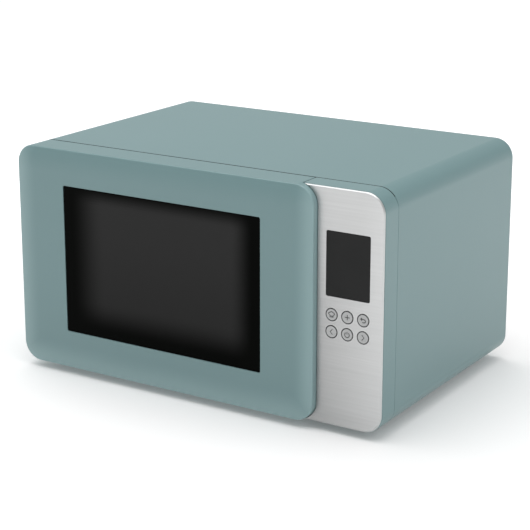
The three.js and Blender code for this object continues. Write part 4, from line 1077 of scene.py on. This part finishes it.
def turntable():
    """Pressed glass plate with a rolled rim, a stepped floor and three drive lugs."""
    low, high = TABLE_LOW.z, TABLE_HIGH.z
    radius = (TABLE_HIGH.x - TABLE_LOW.x) / 2
    under = high - TABLE_DEPTH
    section = [  # (inside the rim, above the underside)
        (11, 0), (6, 0.9), (2.4, 4), (0.5, 7.8), (0, 8.6), (0.5, TABLE_DEPTH), (1.8, 8.8),
        (4.4, 6), (8, 4.5), (14, 4), (40, 4), (41, TABLE_FLOOR), (radius, TABLE_FLOOR),
    ]
    profile = [(0, under)] + [(radius - inside, under + rise) for inside, rise in section]
    table = soften(lathe("turntable_dish", profile, (TABLE_X, TABLE_Y, 0), segments=128))
    fit(table, "turntable", "turntable_glass", FINISH["table_glass"], "turntable_plate")
    joined = under + 0.2
    for i in range(3):
        angle = math.radians((i + 0.5) * 120)
        lug = [(0, low), (LUG_RADIUS - 0.6, low), (LUG_RADIUS, low + 0.8), (LUG_RADIUS, joined), (0, joined)]
        centre = (TABLE_X + LUG_CIRCLE * math.cos(angle), TABLE_Y + LUG_CIRCLE * math.sin(angle), 0)
        piece = soften(lathe(f"turntable_lug_{i + 1}", lug, centre, segments=24))
        fit(piece, "turntable", "turntable_glass", FINISH["table_glass"])


# ---------------------------------------------------------------- stage, light and camera


def stage_floor():
    """Large sweep of pale paper; its faint glow is painted light that stands for the light a lit sweep
    throws back, and it is weaker near the oven, which paints a deeper shadow round the oven.
    """
    material, tree, shader, place = start_finish(
        "pale_studio_floor", Specular_IOR_Level=0.0, Emission_Color=(1, 1, 1, 1),
    )
    # painted shadow: the glow is weakest within a quarter metre of the oven and strongest beyond 1.1 m
    away = add(tree, "ShaderNodeVectorMath", {0: place}, operation="LENGTH")
    glow = add(
        tree, "ShaderNodeMapRange",
        {"Value": away.outputs["Value"], "From Min": 0.25, "From Max": 1.1, "To Min": 0.12, "To Max": 0.38},
        interpolation_type="SMOOTHSTEP",
    )
    tree.links.new(glow.outputs[0], shader.inputs["Emission Strength"])
    mottled(tree, shader, place, 0xECECEC, 0xEEEEEE, 400, (0.8, 0.85), 3.0, 0.001)
    size = 30000.0
    steps = [-size, -1200, 0, 1200, size]
    points = [(x, y, 0) for y in steps for x in steps]
    n = len(steps)
    faces = [
        (i + j * n, i + 1 + j * n, i + 1 + (j + 1) * n, i + (j + 1) * n)
        for j in range(n - 1) for i in range(n - 1)
    ]
    floor = mesh_object("studio_floor", points, faces)
    floor.data.materials.append(material)


def area_light(name, place, target, size, power, spread=180):
    light = bpy.data.lights.new(name, "AREA")
    light.shape = "RECTANGLE"
    light.size, light.size_y = size
    light.energy = power
    light.spread = math.radians(spread)
    obj = bpy.data.objects.new(name, light)
    obj.location = place
    obj.rotation_euler = (Vector(target) - Vector(place)).to_track_quat("-Z", "Y").to_euler()
    bpy.context.scene.collection.objects.link(obj)


def studio():
    """White tent, brightest overhead and dim low down behind the oven, with a soft light above and a weak
    one on the right."""
    world = bpy.data.worlds.new("white_studio")
    world.use_nodes = True
    tree = world.node_tree
    tree.nodes.clear()
    direction = add(tree, "ShaderNodeTexCoord").outputs["Generated"]
    axes = add(tree, "ShaderNodeSeparateXYZ", {"Vector": direction})
    upwards = add(
        tree, "ShaderNodeMapRange",
        {"Value": axes.outputs["Z"], "From Min": 0.0, "From Max": 0.7, "To Min": 0.35, "To Max": 1.0},
        interpolation_type="SMOOTHSTEP",
    )
    back = add(
        tree, "ShaderNodeMapRange",
        {"Value": axes.outputs["Y"], "From Min": 0.25, "From Max": 0.8, "To Min": 1.0, "To Max": 0.45},
        interpolation_type="SMOOTHSTEP",
    )
    front = add(
        tree, "ShaderNodeMapRange",
        {"Value": axes.outputs["Y"], "From Min": -1.0, "From Max": -0.2, "To Min": 0.5, "To Max": 1.0},
        interpolation_type="SMOOTHSTEP",
    )
    level = add(tree, "ShaderNodeMath", {0: upwards.outputs[0], 1: back.outputs[0]}, operation="MULTIPLY")
    tent = add(tree, "ShaderNodeMath", {0: level.outputs[0], 1: front.outputs[0]}, operation="MULTIPLY")
    # the lit paper sweep rises a little above the horizon behind the oven and on its left
    behind = add(tree, "ShaderNodeVectorMath", {0: direction, 1: (-0.7, 0.7, 0.0)}, operation="DOT_PRODUCT")
    side = add(
        tree, "ShaderNodeMapRange",
        {"Value": behind.outputs["Value"], "From Min": 0.1, "From Max": 0.4},
    )
    rise = add(
        tree, "ShaderNodeMapRange",
        {"Value": axes.outputs["Z"], "From Min": 0.15, "From Max": 0.22, "To Min": 1.0, "To Max": 0.0},
    )
    sweep = add(tree, "ShaderNodeMath", {0: side.outputs[0], 1: rise.outputs[0]}, operation="MULTIPLY")
    strength = add(tree, "ShaderNodeMath", {0: tent.outputs[0], 1: sweep.outputs[0]}, operation="MAXIMUM")
    glow = add(tree, "ShaderNodeBackground", {"Strength": strength.outputs[0]})
    glow.inputs["Color"].default_value = (1, 1, 1, 1)
    add(tree, "ShaderNodeOutputWorld", {"Surface": glow.outputs[0]})
    bpy.context.scene.world = world
    area_light("overhead_softbox", (-0.2, -0.2, 2.2), (0, 0, 0.1), (2.8, 1.8), 31)
    area_light("right_softbox", (2.2, -0.3, 0.4), (0, -0.15, 0.15), (0.9, 0.9), 2)


def camera():
    data = bpy.data.cameras.new("studio_camera")
    data.sensor_width = 36
    data.lens = 108.68
    data.shift_y = -0.08
    data.clip_end = 200
    obj = bpy.data.objects.new("studio_camera", data)
    obj.location = (0.9935, -1.5756, 0.6747)
    obj.rotation_euler = (math.radians(90 - 14.96), 0, math.radians(32.28))
    bpy.context.scene.collection.objects.link(obj)
    bpy.context.scene.camera = obj


camera()
studio()
stage_floor()
finish_cad_nodes()
casing_shell()
feet()
casing_screws()
door_shell()
hinge_bosses()
window_pane()
housing_shell()
gap_shade_strip()
fascia_plate()
display_pane()
buttons()
turntable()

bpy.context.scene.view_settings.view_transform = "Standard"
bpy.context.view_layer.update()
